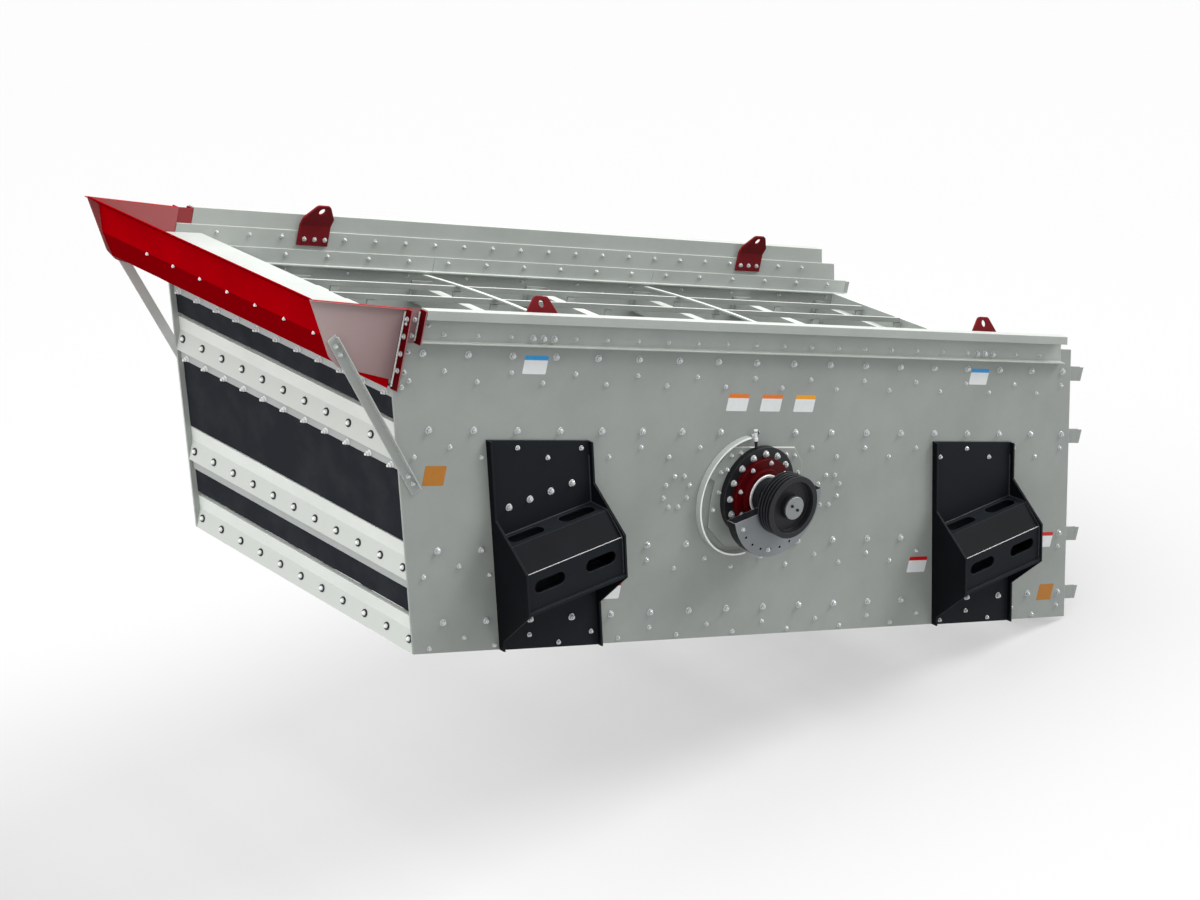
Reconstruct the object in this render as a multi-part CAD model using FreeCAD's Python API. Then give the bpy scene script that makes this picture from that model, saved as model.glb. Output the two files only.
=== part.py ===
import FreeCAD, Part
import math
import os
from FreeCAD import Vector

# Inclined vibrating screen with four decks, drawn in its working position.
# Lengths are in millimetres and angles in degrees.
#
# Two frames are used. The deck frame has u along the decks towards the discharge end, v across
# with the near side at minus, and w square to the decks. The level frame has x level towards the
# discharge end, the same v, and z straight up. Both start at the feed-end bottom corner of the
# side plates. The finished model has its origin on the near feed spring seat.

# side plates
deck_slope = 18.0
side_length = 6000.0
side_height = 2000.0
side_thickness = 12.0
screen_width = 2400.0
feed_corner_height = 1672.0

# top rails, folded channels bolted outside along the upper edges of the side plates
rail_start = -428.0
rail_end_gap = 120.0
rail_overlap = 92.0
rail_height = 197.0
rail_foot_width = 50.0
rail_head_width = 66.0
rail_lip = 55.0
rail_thickness = 8.0

# decks: heights of the deck edge, worked down from the top one
deck_heights = (1745.0, 1288.0, 555.0, 106.0)
deck_names = ("top", "second", "third", "bottom")
deck_crown = 55.0
beam_firsts = (450.0, 30.0, 840.0, 980.0)
beam_pitch = 1000.0
beam_end_space = 200.0
beam_width = 100.0
beam_depths = (120.0, 120.0, 120.0, 72.0)
beam_wall = 8.0
beam_flange_width = 170.0
beam_flange_rise = 28.0
beam_flange_thickness = 16.0
deck_end_gap = 95.0
head_beam_gap = 236.0
stringer_count = 5
stringer_pitch = 400.0
stringer_width = 16.0
stringer_depths = (62.0, 62.0, 62.0, 30.0)
stringer_start_gap = 200.0
saddle_length = 60.0
crown_bar_width = 44.0
crown_bar_thickness = 10.0
crown_bar_clearance = 0.8

# side liners, the strips that hold the screen media down along each deck
liner_height = 105.0
liner_rise = 27.0
liner_thickness = 10.0
liner_lip = 26.0
liner_start = -470.0
liner_end_gap = 492.0
liner_joint = 4.0
liner_count = 3
liner_seat = 0.3

# discharge lips
lip_reach = 125.0
lip_drop = 45.0
lip_height = 100.0
lip_thickness = 10.0

# feed end: cross plates and rubber curtains, in the level frame
cross_bottoms = (1250.0, 486.0, 0.0)
cross_names = ("upper", "middle", "lower")
cross_flare_height = 126.0
cross_strip_height = 90.0
cross_top_fold = 30.0
cross_thickness = 8.0
curtain_bottoms = (1500.0, 719.0, 256.0)
curtain_tops = (1690.0, 1235.0, 470.0)
curtain_inset = 30.0
curtain_thickness = 10.0
curtain_corner = 22.0
curtain_end_gap = 14.0
clamp_height = 62.0
clamp_drop = 50.0
clamp_thickness = 10.0
hanger_rise = 60.0
hanger_fold = 60.0

# feed box, in the deck frame
box_front_top = (-1208.0, 2125.0)
box_front_bend = (-1122.0, 2088.0)
box_floor_line = (-1063.0, 1916.0)
box_under_line = (-967.0, 1773.0)
box_under_end = (-566.0, 1690.0)
box_back_line = -545.0
box_end_drop = 60.0
cheek_toe = (-1008.0, 1802.0)
cheek_heel_height = 1679.0
cheek_chin = (-935.0, 1746.0)
cheek_chin_radius = 85.0
cheek_thickness = 8.0
cheek_lip = 22.0
cheek_lip_thickness = 6.0
box_plate = 8.0
wear_flat_start = (-1046.0, 1926.0)
wear_flat_end = (-354.0, 1936.0)
wear_lip_end = (78.0, 1800.0)
wear_plate = 10.0
wear_gap = 0.3
flange_thickness = 8.0
flange_bottom = 1628.0
flange_step = 1900.0
flange_reach = 66.0
flange_narrow = 55.0
flange_wide = 112.0
flange_top = 2098.0

# diagonal braces of the feed box
brace_top = (-1000.0, 1890.0)
brace_bottom = (-236.0, 1030.0)
brace_width = 62.0
brace_leg = 32.0
brace_thickness = 6.0
brace_corner = 14.0

# lifting lugs
lug_start = 500.0
lug_end_gap = 1558.0
lug_base = 240.0
lug_top = 96.0
lug_rise = 40.0
lug_head = 155.0
lug_lean = 24.0
lug_thickness = 14.0
lug_hole = 24.0
lug_hole_drop = 44.0
lug_shoulder = 55.0

# spring brackets, in the level frame
bracket_start = 1010.0
bracket_end_gap = 986.0
bracket_names = ("feed", "discharge")
bracket_width = 765.0
bracket_top = 1327.0
bracket_plate = 12.0
cheek_plate = 14.0
cheek_depth = 44.0
cheek_reach = 320.0
shelf_height = 540.0
shelf_depth = 168.0
knee_height = 402.0
front_depth = 300.0
seat_height = 130.0
seat_thickness = 20.0
seat_depth = 316.0
flare_top = 674.0
flare_knee = 418.0
flare_foot = -138.0
seat_sheet = 12.0
slot_spread = 392.0
shelf_slot_length = 262.0
shelf_slot_width = 92.0
shelf_slot_depth = 84.0
front_slot_length = 230.0
front_slot_width = 84.0
front_slot_height = 296.0
stud_hole = 11.0
stud_hole_spread = 374.0
stud_hole_depth = 165.0

# cross tubes
tube_spread = 1357.0
tube_height = 993.0
tube_radius = 84.0
tube_wall = 12.0
tube_flange_radius = 138.0
tube_flange_thickness = 20.0
tube_bolt_circle = 218.0
tube_bolt_hole = 11.0
tube_bolt_count = 8

# exciter and drive
axis_place = 2530.0
axis_height = 1000.0
side_bore_radius = 212.0
exciter_tube_radius = 205.0
exciter_tube_wall = 10.0
exciter_flange_radius = 300.0
exciter_flange_thickness = 22.0
pad_thickness = 12.0
pad_points = ((-286.0, 283.0), (279.0, 283.0), (372.0, 190.0), (398.0, 100.0), (398.0, -170.0),
              (300.0, -290.0), (160.0, -372.0), (-170.0, -372.0), (-344.0, -249.0),
              (-372.0, -60.0), (-372.0, 60.0), (-440.0, 88.0))
guard_shift = 88.0
guard_drop = 30.0
guard_radius = 400.0
guard_thickness = 12.0
guard_depth = 42.0
guard_start = 101.0
guard_end = 284.0
ring_radius = 300.0
spigot_radius = 211.0
ring_depth = 42.0
cover_radius = 232.0
cover_depth = 34.0
cover_lip_radius = 165.0
cover_lip_depth = 20.0
cover_bore = 120.0
shaft_radius = 55.0
shaft_fit = 0.05
neck_radius = 112.0
neck_gap = 6.0
counterweight_radius = 374.0
counterweight_thickness = 75.0
counterweight_face = 236.0
counterweight_drop = 34.0
counterweight_hub = 96.0
counterweight_hole_radius = 327.0
counterweight_hole = 9.0
counterweight_hole_pitch = 15.0
counterweight_hole_count = 9
pulley_radius = 206.0
pulley_face = 386.0
pulley_width = 112.0
pulley_hub_radius = 78.0
pulley_rim = 34.0
pulley_web = 26.0
pulley_dish = 40.0
pulley_rim_draft = 8.0
pulley_hub_draft = 4.0
groove_count = 4
groove_pitch = 25.5
groove_depth = 18.0
groove_mouth = 17.0
groove_root = 9.0
cap_radius = 75.0
cap_thickness = 12.0
far_cap_face = 262.0

# breather on the near bearing housing, in the level frame
breather_bottom = 354.0
breather_top = 430.0
breather_radius = 13.0
breather_body = 9.0
breather_stay_height = 26.0
breather_stay_rise = 8.0
hose_radius = 8.0

half_width = screen_width / 2
inner_half = half_width - side_thickness
cross_inset = curtain_inset + curtain_thickness
slope = math.radians(deck_slope)
rail_foot_height = side_height - rail_overlap
lug_bend = side_height + lug_rise
liner_run = side_length - liner_end_gap - liner_start
liner_length = (liner_run - (liner_count - 1) * liner_joint) / liner_count
discharge_end = side_length * math.cos(slope)
bracket_places = (bracket_start, discharge_end - bracket_end_gap)
lug_places = (lug_start, side_length - lug_end_gap)
tube_places = (axis_place - tube_spread / 2, axis_place + tube_spread / 2)


def level_point(u, w):
    return (u * math.cos(slope) + w * math.sin(slope), -u * math.sin(slope) + w * math.cos(slope))


def deck_height_at(x, w):
    """Level height of the deck-frame plane w at the level place x."""
    return (w - x * math.sin(slope)) / math.cos(slope)


seat_origin = Vector(bracket_places[0], -half_width - stud_hole_depth, seat_height)


def finish_level(shape):
    moved = shape.copy()
    moved.translate(-seat_origin)
    return moved


def finish_deck(shape):
    moved = shape.copy()
    moved.rotate(Vector(0, 0, 0), Vector(0, 1, 0), deck_slope)
    return finish_level(moved)


def mirror_across(shape):
    return shape.mirror(Vector(0, 0, 0), Vector(0, 1, 0))


def save(name, shape):
    shape.exportStep("parts/" + name + ".step")


def join(pieces):
    whole = pieces[0].multiFuse(pieces[1:]) if len(pieces) > 1 else pieces[0]
    return whole.removeSplitter()


def block(u0, u1, v0, v1, w0, w1):
    return Part.makeBox(u1 - u0, v1 - v0, w1 - w0, Vector(u0, v0, w0))


def along_v(points, v0, v1):
    """A prism across the screen from an outline of (along, up) points."""
    corners = [Vector(a, v0, b) for a, b in points]
    face = Part.Face(Part.makePolygon(corners + corners[:1]))
    return face.extrude(Vector(0, v1 - v0, 0))


def along_u(points, u0, u1):
    """A prism along the screen from an outline of (across, up) points."""
    corners = [Vector(u0, a, b) for a, b in points]
    face = Part.Face(Part.makePolygon(corners + corners[:1]))
    return face.extrude(Vector(u1 - u0, 0, 0))


def disc(u, w, radius, v0, v1):
    return Part.makeCylinder(radius, v1 - v0, Vector(u, v0, w), Vector(0, 1, 0))


def ring(u, w, radius, bore, v0, v1):
    return disc(u, w, radius, v0, v1).cut(disc(u, w, bore, v0, v1))


def slant_end(w, gap=0.0):
    """Place of the slanted discharge end at height w, drawn back by a gap."""
    return side_length - gap - w * math.tan(slope)


def slant_start(w, gap=0.0):
    return gap - w * math.tan(slope)


def sheet(points, thickness):
    """Outline of a folded sheet: a path of points and the same path moved square to itself."""
    offset = []
    for i, point in enumerate(points):
        before = points[max(i - 1, 0)]
        after = points[min(i + 1, len(points) - 1)]
        first = unit(before, point) if i > 0 else unit(point, after)
        second = unit(point, after) if i < len(points) - 1 else first
        normal = (-(first[1] + second[1]), first[0] + second[0])
        size = math.hypot(*normal)
        normal = (normal[0] / size, normal[1] / size)
        spread = thickness / (-first[1] * normal[0] + first[0] * normal[1])
        offset.append((point[0] + normal[0] * spread, point[1] + normal[1] * spread))
    return list(points) + offset[::-1]


def unit(a, b):
    size = math.hypot(b[0] - a[0], b[1] - a[1])
    return ((b[0] - a[0]) / size, (b[1] - a[1]) / size)


def slot(x, y, length, width):
    """Outline of a round-ended slot in its own plane."""
    half = (length - width) / 2
    radius = width / 2
    upper = Part.LineSegment(Vector(x - half, y + radius, 0), Vector(x + half, y + radius, 0))
    right = Part.Arc(Vector(x + half, y + radius, 0), Vector(x + half + radius, y, 0),
                     Vector(x + half, y - radius, 0))
    lower = Part.LineSegment(Vector(x + half, y - radius, 0), Vector(x - half, y - radius, 0))
    left = Part.Arc(Vector(x - half, y - radius, 0), Vector(x - half - radius, y, 0),
                    Vector(x - half, y + radius, 0))
    return Part.Wire([edge.toShape() for edge in (upper, right, lower, left)])


def side_plate():
    """Near side plate: a parallelogram with its feed corner cut square to the deck."""
    points = [(0, 0), (side_length, 0), (slant_end(side_height), side_height),
              (slant_start(feed_corner_height), side_height),
              (slant_start(feed_corner_height), feed_corner_height)]
    plate = along_v(points, -half_width, -inner_half)
    return plate.cut(disc(axis_place, axis_height, side_bore_radius, -half_width, -inner_half))


def top_rail():
    """Near top rail: web on the plate's outer face, a foot flange, and a head with a lip."""
    top = rail_foot_height + rail_height
    face = -half_width
    path = [(face - rail_foot_width, rail_foot_height), (face, rail_foot_height), (face, top),
            (face - rail_head_width, top), (face - rail_head_width, top - rail_lip)]
    profile = sheet(path, rail_thickness)
    bar = along_u(profile, rail_start, side_length)
    low = rail_foot_height - rail_thickness
    cutter = along_v([(slant_end(low, rail_end_gap), low), (side_length, low), (side_length, top),
                      (slant_end(top, rail_end_gap), top)],
                     face - rail_head_width - rail_thickness, face + rail_thickness)
    return bar.cut(cutter)


def crown_height(v):
    return deck_crown * (1 - (v / half_width) ** 2)


def cross_beam(place, top, depth):
    """Hollow cross beam welded to an end flange on each side plate."""
    end = inner_half - beam_flange_thickness
    low = top - depth
    tube = block(place - beam_width / 2, place + beam_width / 2, -end, end, low, top)
    bore = block(place - beam_width / 2 + beam_wall, place + beam_width / 2 - beam_wall, -end, end,
                 low + beam_wall, top - beam_wall)
    flanges = [block(place - beam_flange_width / 2, place + beam_flange_width / 2, min(a, b),
                     max(a, b), low, top + beam_flange_rise)
               for a, b in ((-inner_half, -end), (end, inner_half))]
    return join([tube.cut(bore)] + flanges)


def stringer(v, level, depth, places):
    """Long bar on edge along the deck crown, on a saddle plate over each cross beam."""
    top = level + crown_height(v)
    low = top - depth
    near, far = v - stringer_width / 2, v + stringer_width / 2
    bar = along_v([(slant_start(low, stringer_start_gap), low), (slant_end(low, deck_end_gap), low),
                   (slant_end(top, deck_end_gap), top),
                   (slant_start(top, stringer_start_gap), top)], near, far)
    saddles = [block(place - saddle_length / 2, place + saddle_length / 2, near, far,
                     level - depth, low + depth / 2)
               for place in places]
    return join([bar] + saddles)


def deck_shift(level):
    """How far a lower deck lies towards the discharge end of the top one."""
    return (deck_heights[0] - level) * math.tan(slope)


def beam_places(level, beam_first, stringer_depth):
    """Where one deck's cross beams stand: a row at the beam pitch and one at each slanted end."""
    top = level - stringer_depth
    last = slant_end(top, deck_end_gap + beam_width / 2)
    count = int((last - beam_end_space - beam_first) // beam_pitch) + 1
    places = [slant_start(top, head_beam_gap), last]
    return places + [beam_first + i * beam_pitch for i in range(count)]


def deck_beams(level, beam_first, beam_depth, stringer_depth):
    return [cross_beam(place, level - stringer_depth, beam_depth)
            for place in beam_places(level, beam_first, stringer_depth)]


def deck_stringers(level, beam_first, stringer_depth):
    middle = (stringer_count - 1) / 2
    places = beam_places(level, beam_first, stringer_depth)
    return [stringer((i - middle) * stringer_pitch, level, stringer_depth, places)
            for i in range(stringer_count)]


def crown_bar(place, level):
    """Arched flat bar over the stringers at a joint between screen panels."""
    reach = inner_half - liner_thickness - liner_lip
    low = level + crown_bar_clearance
    edge = low + crown_height(reach)
    middle = low + deck_crown
    up = Vector(0, 0, crown_bar_thickness)
    ends = [Vector(place, -reach, edge), Vector(place, 0, middle), Vector(place, reach, edge)]
    lower = Part.Arc(*ends).toShape()
    upper = Part.Arc(*[point + up for point in ends[::-1]]).toShape()
    right = Part.makeLine(ends[2], ends[2] + up)
    left = Part.makeLine(ends[0] + up, ends[0])
    face = Part.Face(Part.Wire([lower, right, upper, left]))
    bar = face.extrude(Vector(crown_bar_width, 0, 0))
    bar.translate(Vector(-crown_bar_width / 2, 0, 0))
    return bar


def side_liner(level):
    """Near liner strips of one deck: a flat strip with an inward lip along its foot."""
    face = -inner_half + liner_seat
    foot = level + liner_rise
    profile = [(face, foot), (face + liner_thickness + liner_lip, foot),
               (face + liner_thickness + liner_lip, foot + liner_thickness),
               (face + liner_thickness, foot + liner_thickness),
               (face + liner_thickness, foot + liner_height), (face, foot + liner_height)]
    strips = []
    for i in range(liner_count):
        start = liner_start + deck_shift(level) + i * (liner_length + liner_joint)
        strips.append(along_u(profile, start, start + liner_length))
    return strips


def discharge_lip(level, stringer_depth):
    """Lip plate past the slanted end. Its web lies on the last cross beam, and it has an upstand
    at each side."""
    foot = level + liner_rise
    top = foot + lip_height
    beam_top = level - stringer_depth
    edge = inner_half - 2 * liner_thickness - liner_lip
    root = slant_end(beam_top, deck_end_gap)
    nose = slant_end(foot, -lip_reach)
    lip = [block(root, nose, -edge, edge, foot, foot + lip_thickness),
           block(root, root + lip_thickness, -edge, edge, beam_top - lip_drop, foot)]
    clear = side_length - liner_end_gap + deck_shift(level) + liner_joint
    for side in (-1, 1):
        ear = sorted((side * (inner_half - liner_seat), side * (inner_half - liner_thickness)))
        lip.append(block(clear, nose, ear[0], ear[1], foot, top))
        tie = sorted((side * edge, side * (inner_half - liner_thickness)))
        lip.append(block(clear, nose, tie[0], tie[1], foot, foot + lip_thickness))
    return join(lip)


def cross_plate(bottom, curtain_top):
    """Feed-end plate in the level frame: a top fold, a steep strip and a flared skirt.

    Behind the skirt a carrier strip runs down to hold the curtain below."""
    bend = bottom + cross_flare_height
    top = bend + cross_strip_height
    path = [(0, bottom), (cross_inset, bend), (cross_inset, top),
            (cross_inset + cross_top_fold, top)]
    skirt = along_v(sheet(path, -cross_thickness), -inner_half, inner_half)
    carrier = block(cross_inset, cross_inset + cross_thickness, -inner_half, inner_half,
                    curtain_top - clamp_drop, bend)
    return join([skirt, carrier])


def curtain_hanger(curtain_top):
    """Angle across the feed end that carries the upper curtain."""
    top = curtain_top + hanger_rise
    path = [(cross_inset, curtain_top - clamp_drop), (cross_inset, top),
            (cross_inset + hanger_fold, top)]
    return along_v(sheet(path, -cross_thickness), -inner_half, inner_half)


def curtain(bottom, top):
    """Rubber curtain with rounded lower corners."""
    reach = inner_half - curtain_end_gap
    slab = block(curtain_inset, curtain_inset + curtain_thickness, -reach, reach, bottom, top)
    lower = [edge for edge in slab.Edges if abs(edge.BoundBox.ZMax - bottom) < 1e-6
             and edge.BoundBox.YLength < 1e-6]
    return slab.makeFillet(curtain_corner, lower)


def clamp_bar(top):
    """Flat bar that clamps a curtain at its head."""
    reach = inner_half - curtain_end_gap
    outer = curtain_inset - clamp_thickness
    low = top - clamp_drop
    return block(outer, curtain_inset, -reach, reach, low, low + clamp_height)


def feed_front():
    """Front of the feed box: lip, upright panel and undercut panel in one folded sheet."""
    path = [box_front_top, box_front_bend, box_floor_line, box_under_line, box_under_end,
            (box_under_end[0], box_under_end[1] - box_end_drop)]
    reach = half_width - cheek_thickness
    return along_v(sheet(path, box_plate), -reach, reach)


def feed_cheek():
    """Near cheek plate of the feed box with its folded top edge."""
    corner = Vector(cheek_toe[0], 0, cheek_toe[1])
    top_front = Vector(box_front_top[0], 0, box_front_top[1])
    top_back = Vector(box_back_line, 0, flange_top)
    heel = Vector(box_back_line, 0, cheek_heel_height)
    chin = Vector(cheek_chin[0], 0, cheek_chin[1])
    outline = Part.makePolygon([top_front, top_back, heel, chin, corner, top_front])
    outline.translate(Vector(0, -half_width, 0))
    plate = Part.Face(outline).extrude(Vector(0, cheek_thickness, 0))
    toes = [edge for edge in plate.Edges if edge.BoundBox.YLength > cheek_thickness / 2
            and min(abs(edge.BoundBox.XMin - cheek_toe[0]), abs(edge.BoundBox.XMin - cheek_chin[0])) < 1]
    plate = plate.makeFillet(cheek_chin_radius, toes)
    run = unit(box_front_top, (box_back_line, flange_top))
    drop = (run[1] * cheek_lip_thickness, -run[0] * cheek_lip_thickness)
    lip = along_v([box_front_top, (box_back_line, flange_top),
                   (box_back_line + drop[0], flange_top + drop[1]),
                   (box_front_top[0] + drop[0], box_front_top[1] + drop[1])],
                  -half_width, -half_width - cheek_lip)
    return join([plate, lip])


def cheek_flange():
    """Near flange bracket that bolts the feed box and the rail's end to the side plate."""
    face = -half_width
    first = box_back_line
    second = first + flange_wide
    flat = along_v([(first, flange_bottom), (first + flange_narrow, flange_bottom),
                    (first + flange_narrow, flange_step), (second, flange_step),
                    (second, flange_top), (first, flange_top)], face - flange_thickness, face)
    leg = block(first, first + flange_thickness, face - flange_reach, face, flange_bottom, flange_top)
    short = block(second - flange_thickness, second, face - flange_reach, face, flange_step,
                  flange_top)
    return join([flat, leg, short])


def wear_sheet():
    """Pale wear plate: flat over the feed box, then sloping down on to the top deck."""
    reach = inner_half - wear_gap
    path = [wear_flat_start, wear_flat_end, wear_lip_end]
    plate = along_v(sheet(path, wear_plate), -reach, reach)
    liner_reach = inner_half - liner_thickness - liner_lip - wear_gap
    liner_top = deck_heights[0] + liner_rise + liner_height + wear_gap
    for v0, v1 in ((-half_width, -liner_reach), (liner_reach, half_width)):
        plate = plate.cut(block(liner_start, wear_lip_end[0] + wear_plate, v0, v1,
                                deck_heights[0], liner_top))
    return plate


def brace():
    """Near brace: an angle bar from the cheek down to the side plate."""
    length = math.hypot(brace_bottom[0] - brace_top[0], brace_bottom[1] - brace_top[1])
    turn = math.degrees(math.atan2(brace_bottom[1] - brace_top[1], brace_bottom[0] - brace_top[0]))
    face = -half_width
    over = brace_width / 2
    flat = block(-over, length + over, face - brace_thickness, face, -over, over)
    ends = [edge for edge in flat.Edges if abs(edge.BoundBox.YLength - brace_thickness) < 1e-6
            and edge.BoundBox.ZMax < 0]
    flat = flat.makeFillet(brace_corner, ends)
    leg = block(-over + brace_corner, length + over - brace_corner, face - brace_leg, face,
                over - brace_thickness, over)
    bar = join([flat, leg])
    bar.rotate(Vector(0, 0, 0), Vector(0, 1, 0), -turn)
    bar.translate(Vector(brace_top[0], 0, brace_top[1]))
    return bar


def lug(place):
    """Near lifting lug inside the side plate: a straight foot, then a head leaning inwards."""
    face = -inner_half
    back = face + lug_thickness
    foot = block(place - lug_base / 2, place + lug_base / 2, face, back, rail_foot_height, lug_bend)
    top = lug_bend + lug_head
    points = [(place - lug_base / 2, lug_bend), (place + lug_base / 2, lug_bend),
              (place + lug_base / 2, lug_bend + lug_shoulder), (place + lug_top / 2, top),
              (place - lug_top / 2, top), (place - lug_base / 2, lug_bend + lug_shoulder)]
    head = along_v(points, face, back)
    corners = [edge for edge in head.Edges if edge.BoundBox.YLength > lug_thickness / 2
               and edge.BoundBox.ZMax > top - 1]
    head = head.makeFillet(lug_top / 3, corners)
    head = head.cut(disc(place, top - lug_hole_drop, lug_hole, face, back))
    head.rotate(Vector(place, back, lug_bend), Vector(1, 0, 0), -lug_lean)
    wedge = Part.makeCylinder(lug_thickness, lug_base, Vector(place - lug_base / 2, back, lug_bend),
                              Vector(1, 0, 0))
    wedge = wedge.common(block(place - lug_base / 2, place + lug_base / 2, face, back,
                               lug_bend, lug_bend + lug_thickness))
    return join([foot, wedge, head])


def spring_bracket(place):
    """Near spring bracket in the level frame, cut along the deck at its top and foot."""
    left = place - bracket_width / 2
    right = place + bracket_width / 2
    face = -half_width
    top = deck_height_at(left, bracket_top)
    foot = deck_height_at(right, 0)
    shift = deck_height_at(place, 0) - deck_height_at(bracket_places[0], 0)
    back = block(left, right, face - bracket_plate, face, foot, top)
    path = [(face, foot), (face - cheek_depth, foot), (face - cheek_depth, flare_foot + shift),
            (face - cheek_reach, seat_height + shift), (face - cheek_reach, flare_knee + shift),
            (face - cheek_depth, flare_top + shift), (face - cheek_depth, top), (face, top)]
    cheeks = [along_u(path, left, left + cheek_plate), along_u(path, right - cheek_plate, right)]
    inside = (left + cheek_plate, right - cheek_plate)
    hood_path = [(face, shelf_height + shift), (face - shelf_depth, shelf_height + shift),
                 (face - front_depth, knee_height + shift), (face - front_depth, seat_height + shift)]
    hood = along_u(sheet(hood_path, seat_sheet), *inside)
    seat = block(inside[0], inside[1], face - seat_depth, face, seat_height + shift,
                 seat_height + seat_thickness + shift)
    bracket = join([back, hood, seat] + cheeks)
    for side in (-1, 1):
        middle = place + side * slot_spread / 2
        shelf_slot = slot(middle, face - shelf_slot_depth, shelf_slot_length, shelf_slot_width)
        shelf_slot.translate(Vector(0, 0, shelf_height + shift - 2 * seat_sheet))
        bracket = bracket.cut(Part.Face(shelf_slot).extrude(Vector(0, 0, 3 * seat_sheet)))
        front_slot = slot(middle, front_slot_height + shift, front_slot_length, front_slot_width)
        front_slot.rotate(Vector(0, 0, 0), Vector(1, 0, 0), 90)
        front_slot.translate(Vector(0, face - front_depth + 2 * seat_sheet, 0))
        bracket = bracket.cut(Part.Face(front_slot).extrude(Vector(0, -3 * seat_sheet, 0)))
        hole = Part.makeCylinder(stud_hole, seat_thickness,
                                 Vector(place + side * stud_hole_spread / 2, face - stud_hole_depth,
                                        seat_height + shift))
        bracket = bracket.cut(hole)
    wide = screen_width
    above = along_v([(left, deck_height_at(left, bracket_top)), (left, top + wide),
                     (right, top + wide), (right, deck_height_at(right, bracket_top))], -wide, 0)
    below = along_v([(left, deck_height_at(left, 0)), (left, foot - wide), (right, foot - wide),
                     (right, foot)], -wide, 0)
    return bracket.cut(above).cut(below)


def cross_tube(place):
    """Large tube between the side plates with a bolted flange at each end."""
    end = inner_half - tube_flange_thickness
    pieces = [ring(place, tube_height, tube_radius, tube_radius - tube_wall, -end, end)]
    for v0, v1 in ((-inner_half, -end), (end, inner_half)):
        flange = disc(place, tube_height, tube_flange_radius, v0, v1)
        for i in range(tube_bolt_count):
            angle = 2 * math.pi * (i + 0.5) / tube_bolt_count
            flange = flange.cut(disc(place + tube_bolt_circle / 2 * math.cos(angle),
                                     tube_height + tube_bolt_circle / 2 * math.sin(angle),
                                     tube_bolt_hole, v0, v1))
        pieces.append(flange)
    return join(pieces)


def exciter_tube():
    """Tube that guards the shaft between the side plates."""
    end = inner_half - exciter_flange_thickness
    bore = exciter_tube_radius - exciter_tube_wall
    pieces = [ring(axis_place, axis_height, exciter_tube_radius, bore, -end, end)]
    for v0, v1 in ((-inner_half, -end), (end, inner_half)):
        pieces.append(ring(axis_place, axis_height, exciter_flange_radius, bore, v0, v1))
    return join(pieces)


def exciter_pad():
    """Near reinforcing plate on the side plate round the exciter."""
    points = [(axis_place + a, axis_height + b) for a, b in pad_points]
    plate = along_v(points, -half_width - pad_thickness, -half_width)
    return plate.cut(disc(axis_place, axis_height, side_bore_radius, -half_width - pad_thickness,
                          -half_width))


def guard_band():
    """Near guard: a flat bar bent to a C and stood on edge round the feed side of the exciter."""
    u = axis_place - guard_shift
    w = axis_height - guard_drop
    face = -half_width
    band = ring(u, w, guard_radius, guard_radius - guard_thickness, face - guard_depth, face)
    reach = 2 * guard_radius
    steps = 8
    fan = [(u, w)]
    for i in range(steps + 1):
        angle = math.radians(guard_start + (guard_end - guard_start) * i / steps)
        fan.append((u + reach * math.cos(angle), w + reach * math.sin(angle)))
    return band.common(along_v(fan, face - guard_depth, face))


def stack():
    """Faces of the bearing stack, outwards from the side plate, as near-side v values."""
    pad_face = -half_width - pad_thickness
    ring_face = pad_face - ring_depth
    cover_face = ring_face - cover_depth
    return pad_face, ring_face, cover_face


def bearing_housing():
    """Near housing: a black flange ring with a spigot in the side plate and the shaft's bearing."""
    pad_face, ring_face, cover_face = stack()
    bore = shaft_radius + shaft_fit
    flange = ring(axis_place, axis_height, ring_radius, bore, ring_face, pad_face)
    spigot = ring(axis_place, axis_height, spigot_radius, bore, pad_face, -inner_half)
    return join([flange, spigot])


def bearing_cover():
    pad_face, ring_face, cover_face = stack()
    lip_face = cover_face - cover_lip_depth
    return join([ring(axis_place, axis_height, cover_radius, cover_bore, cover_face, ring_face),
                 ring(axis_place, axis_height, cover_lip_radius, cover_bore, lip_face, cover_face)])


def shaft():
    """Exciter shaft from the pulley end to the far counterweight, with a collar at each bearing."""
    pad_face, ring_face, cover_face = stack()
    near_end = -half_width - pulley_face + cap_thickness
    far_end = half_width + far_cap_face - cap_thickness
    pieces = [disc(axis_place, axis_height, shaft_radius, near_end, far_end)]
    collar_out = -half_width - counterweight_face + counterweight_thickness
    for side in (-1, 1):
        v0, v1 = sorted((side * -collar_out, side * -(ring_face - neck_gap)))
        pieces.append(disc(axis_place, axis_height, neck_radius, v0, v1))
    return join(pieces)


def counterweight():
    """Near counterweight: a half disc below the shaft with a hub, its flat edge level at rest."""
    v0 = -half_width - counterweight_face
    v1 = v0 + counterweight_thickness
    u, w = axis_place, axis_height
    plate = disc(u, w, counterweight_radius, v0, v1)
    reach = 2 * counterweight_radius
    above = block(u - reach, u + reach, v0, v1, w - counterweight_drop, w + reach)
    above.rotate(Vector(u, 0, w), Vector(0, 1, 0), -deck_slope)
    weight = join([plate.cut(above), disc(u, w, counterweight_hub, v0, v1)])
    weight = weight.cut(disc(u, w, shaft_radius, v0, v1))
    for i in range(counterweight_hole_count):
        step = i - (counterweight_hole_count - 1) / 2
        angle = math.radians(-90 + deck_slope + step * counterweight_hole_pitch)
        hole = disc(u + counterweight_hole_radius * math.cos(angle),
                    w + counterweight_hole_radius * math.sin(angle), counterweight_hole, v0, v1)
        weight = weight.cut(hole)
    return weight


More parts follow.
